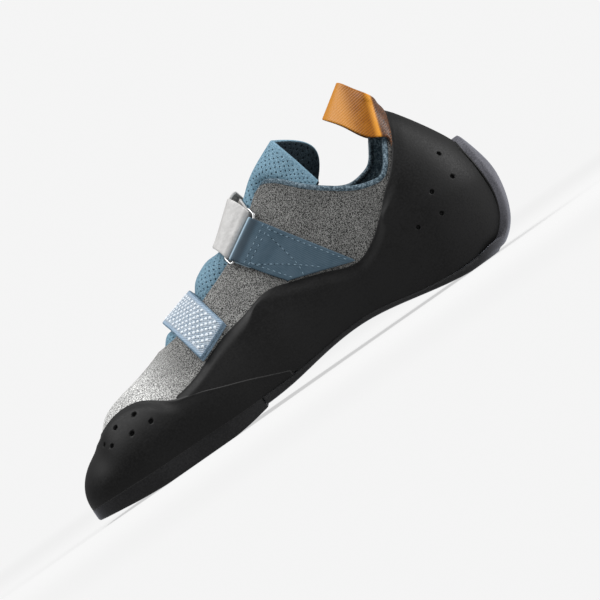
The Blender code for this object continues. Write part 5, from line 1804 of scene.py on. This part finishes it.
satin, tree, inputs, at = material("orange_ribbon", 0.42, 0.2)
seen = {0: along(tree, at, 0), 1: along(tree, at, 2)}
side_view = put(tree, "ShaderNodeCombineXYZ", seen).outputs[0]
weave = effect(tree, twill, Vector=side_view, Pitch=0.0012, Lean=1.45, Thread=0.0009)
lustre = effect(tree, flecks, Vector=at["Object"], Size=0.006, Softness=0.3)
lengthwise = {0: at["Object"], 1: LOOP_AXIS}
measured = put(tree, "ShaderNodeVectorMath", lengthwise, operation="DOT_PRODUCT")
from_foot = measured.outputs["Value"]
warp = blend(tree, weave["Rib"], (0.15, 0.045, 0.001, 1), (0.25, 0.082, 0.002, 1))
shine = ramp(tree, lustre["Fleck"], 0, 1, 0, 0.3)
warp = blend(tree, shine, warp, (0.36, 0.14, 0.012, 1))
# Painted light: the upper part of the loop, which faces up, is lighter.
painted_upper_light = ramp(tree, from_foot, LOOP_WORN + 0.009, LOOP_WORN + 0.017)
warp = blend(tree, painted_upper_light, warp, (0.42, 0.165, 0.012, 1))
fray = effect(tree, flecks, Vector=at["Object"], Size=0.0007, Softness=0.15)
worn = blend(tree, fray["Fleck"], (0.022, 0.011, 0.007, 1), (0.13, 0.050, 0.018, 1))
# Painted highlight: a bright band just above the sewn foot.
above_worn = ramp(tree, from_foot, LOOP_WORN, LOOP_WORN + 0.0012)
below_clean = ramp(tree, from_foot, LOOP_WORN + 0.0045, LOOP_WORN + 0.0012)
painted_highlight = maths(tree, "MULTIPLY", above_worn, below_clean)
warp = blend(tree, painted_highlight, warp, (0.56, 0.23, 0.02, 1))
clean = ramp(tree, from_foot, LOOP_WORN - 0.0005, LOOP_WORN + 0.0012)
feed(tree, inputs["Base Color"], blend(tree, clean, worn, warp))
feed(tree, inputs["Roughness"], ramp(tree, weave["Rib"], 0, 1, 0.5, 0.34))
bump(tree, inputs, weave["Rib"], 0.25, 0.0003)
print("loop finish:", satin.name)

# %% Heel loop
RIBBON_WALL, LOOP_FOOT, LOOP_ROWS, LOOP_COLUMNS = 1.2, (94.0, 100.2), 46, 31
FOOT_ABOVE, FOOT_LIFT, RIM_ABOVE, RIM_LIFT = 0.9, 0.6, 1.6, 2.3

PULL_LOOP = table(
    "front_x front_y front_z back_x back_y back_z",
    (87.8, 19.8, 84.0, 100.2, 10.4, 98.4), (81.6, 13.6, 94.2, 95.8, 8.0, 105.8),
    (76.6, 6.0, 101.4, 92.0, 3.6, 112.0), (74.6, 0.0, 103.8, 90.2, 0.0, 114.2),
)
share = np.linspace(0.0, 1.0, LOOP_COLUMNS)
foot_x = LOOP_FOOT[0] + (LOOP_FOOT[1] - LOOP_FOOT[0]) * share
legs = []
for side in (MEDIAL, LATERAL):
    rows = []
    foot = (wing_top(side, foot_x) + FOOT_ABOVE, RIBBON_WALL / 2 + FOOT_LIFT)
    rim = (top_edge(MEDIAL, foot_x) + RIM_ABOVE, RIM_LIFT)
    for z, lift in (foot, rim):
        points = on_last(side, turn_of(foot_x, z), z)
        rows.append(points + lift * outward(side, points))
    for row in PULL_LOOP:
        front, back = np.array(row[:3]), np.array(row[3:])
        spots = front + (back - front) * share[:, None]
        rows.append(spots * (1, side, 1) + (0, centre(foot_x[0]), 0))
    rows = np.stack(rows)
    knots, even = np.arange(len(rows)), np.linspace(0, len(rows) - 1, LOOP_ROWS)
    leg = [spline(knots, values)(even) for values in rows.reshape(len(rows), -1).T]
    legs.append(np.stack(leg, axis=-1).reshape(LOOP_ROWS, LOOP_COLUMNS, 3))
grid = np.concatenate([legs[0], legs[1][-2::-1]])
normals = grid_normals(grid)
normals *= np.sign(normals[LOOP_ROWS - 1, LOOP_COLUMNS // 2] @ np.array([-0.5, 0.0, 0.8]))
mesh = thick_sheet("heel_loop", grid, normals, RIBBON_WALL / 2, -RIBBON_WALL / 2, [satin])
show("heel_loop", mesh, "orange_ribbon", "pull_loop")

# %% [markdown]
# ## Floor, light and camera
# The shoe stands flat on a pale floor that fades into the background. A large soft light
# hangs above it, a second one lights the heel from behind, and a weak third one fills the
# shade on the inner side.

# %% Floor
FLOOR_LEVEL, FLOOR_RADIUS, FLOOR_CORNERS = 0.0, 6000.0, 128
PAPER, GLOW = 0.91, 0.60

paper, tree, inputs, at = material("floor_paper", 0.9, 0.0)
far_off = put(tree, "ShaderNodeVectorMath", {0: at["Object"]}, operation="LENGTH").outputs["Value"]
fade = ramp(tree, far_off, 0.25, 0.9)
fibre = effect(tree, flecks, Vector=at["Object"], Size=0.004, Softness=0.3)
near = blend(tree, fibre["Fleck"], grey(0.185), grey(0.195))
feed(tree, inputs["Base Color"], blend(tree, fade, near, grey(0.0)))
feed(tree, inputs["Emission Color"], blend(tree, fade, grey(GLOW), grey(PAPER)))
inputs["Emission Strength"].default_value = 1.0

rim = np.linspace(0, 2 * math.pi, FLOOR_CORNERS + 1)[:-1]
round_edge = FLOOR_RADIUS * np.cos(rim), FLOOR_RADIUS * np.sin(rim)
disc = np.stack([*round_edge, 0 * rim + FLOOR_LEVEL], axis=1)
floor = new_object("floor", make_mesh("floor", disc, [list(range(FLOOR_CORNERS))], [paper]))
print("floor at", FLOOR_LEVEL)

# %% Light
world = bpy.data.worlds.new("studio")
bpy.context.scene.world = world
world.use_nodes = True
tree = world.node_tree
seen = put(tree, "ShaderNodeLightPath").outputs["Is Camera Ray"]
tint = blend(tree, seen, grey(0.30), grey(PAPER))
feed(tree, tree.nodes["Background"].inputs["Color"], tint)


def soft_light(name, place, target, size, power):
    lamp = bpy.data.lights.new(name, "AREA")
    lamp.size, lamp.energy = size, power
    obj = new_object(name, lamp)
    obj.location = place
    obj.rotation_euler = (Vector(target) - Vector(place)).to_track_quat("-Z", "Y").to_euler()


soft_light("key", (-0.30, -0.10, 1.1), (0.0, 0.0, 0.05), 0.9, 18.0)
soft_light("heel", (1.0, -0.05, 0.45), (0.1, 0.0, 0.05), 0.5, 10.0)
soft_light("fill", (0.85, -0.95, 0.35), (0.06, 0.0, 0.05), 0.5, 2.4)
print("lights:", len(bpy.data.lights))

# %% [markdown]
# The camera looks at the inner side from far off, rolled so that the toe points down to
# the left.

# %% Camera
ROLL, RISE_ANGLE = math.radians(34.9), math.radians(0.5)
DISTANCE, VIEW_SIDE, SENSOR = 3.0, 0.2982, 36.0
TARGET = Vector((0.0136, 0.0, 0.0367))

camera_data = bpy.data.cameras.new("camera")
camera_data.sensor_width = SENSOR
camera_data.lens = SENSOR * DISTANCE / VIEW_SIDE
right = Vector((math.cos(ROLL), 0.0, -math.sin(ROLL)))
above = Vector((math.sin(ROLL), 0.0, math.cos(ROLL)))
ahead = Vector((0.0, 1.0, 0.0)) * math.cos(RISE_ANGLE) - above * math.sin(RISE_ANGLE)
up = right.cross(ahead)
camera = new_object("camera", camera_data)
camera.matrix_world = Matrix([right, up, -ahead]).transposed().to_4x4()
camera.location = TARGET - ahead * DISTANCE
bpy.context.scene.camera = camera
bpy.context.scene.view_settings.view_transform = "Standard"
print("camera at", [round(value, 3) for value in camera.location])
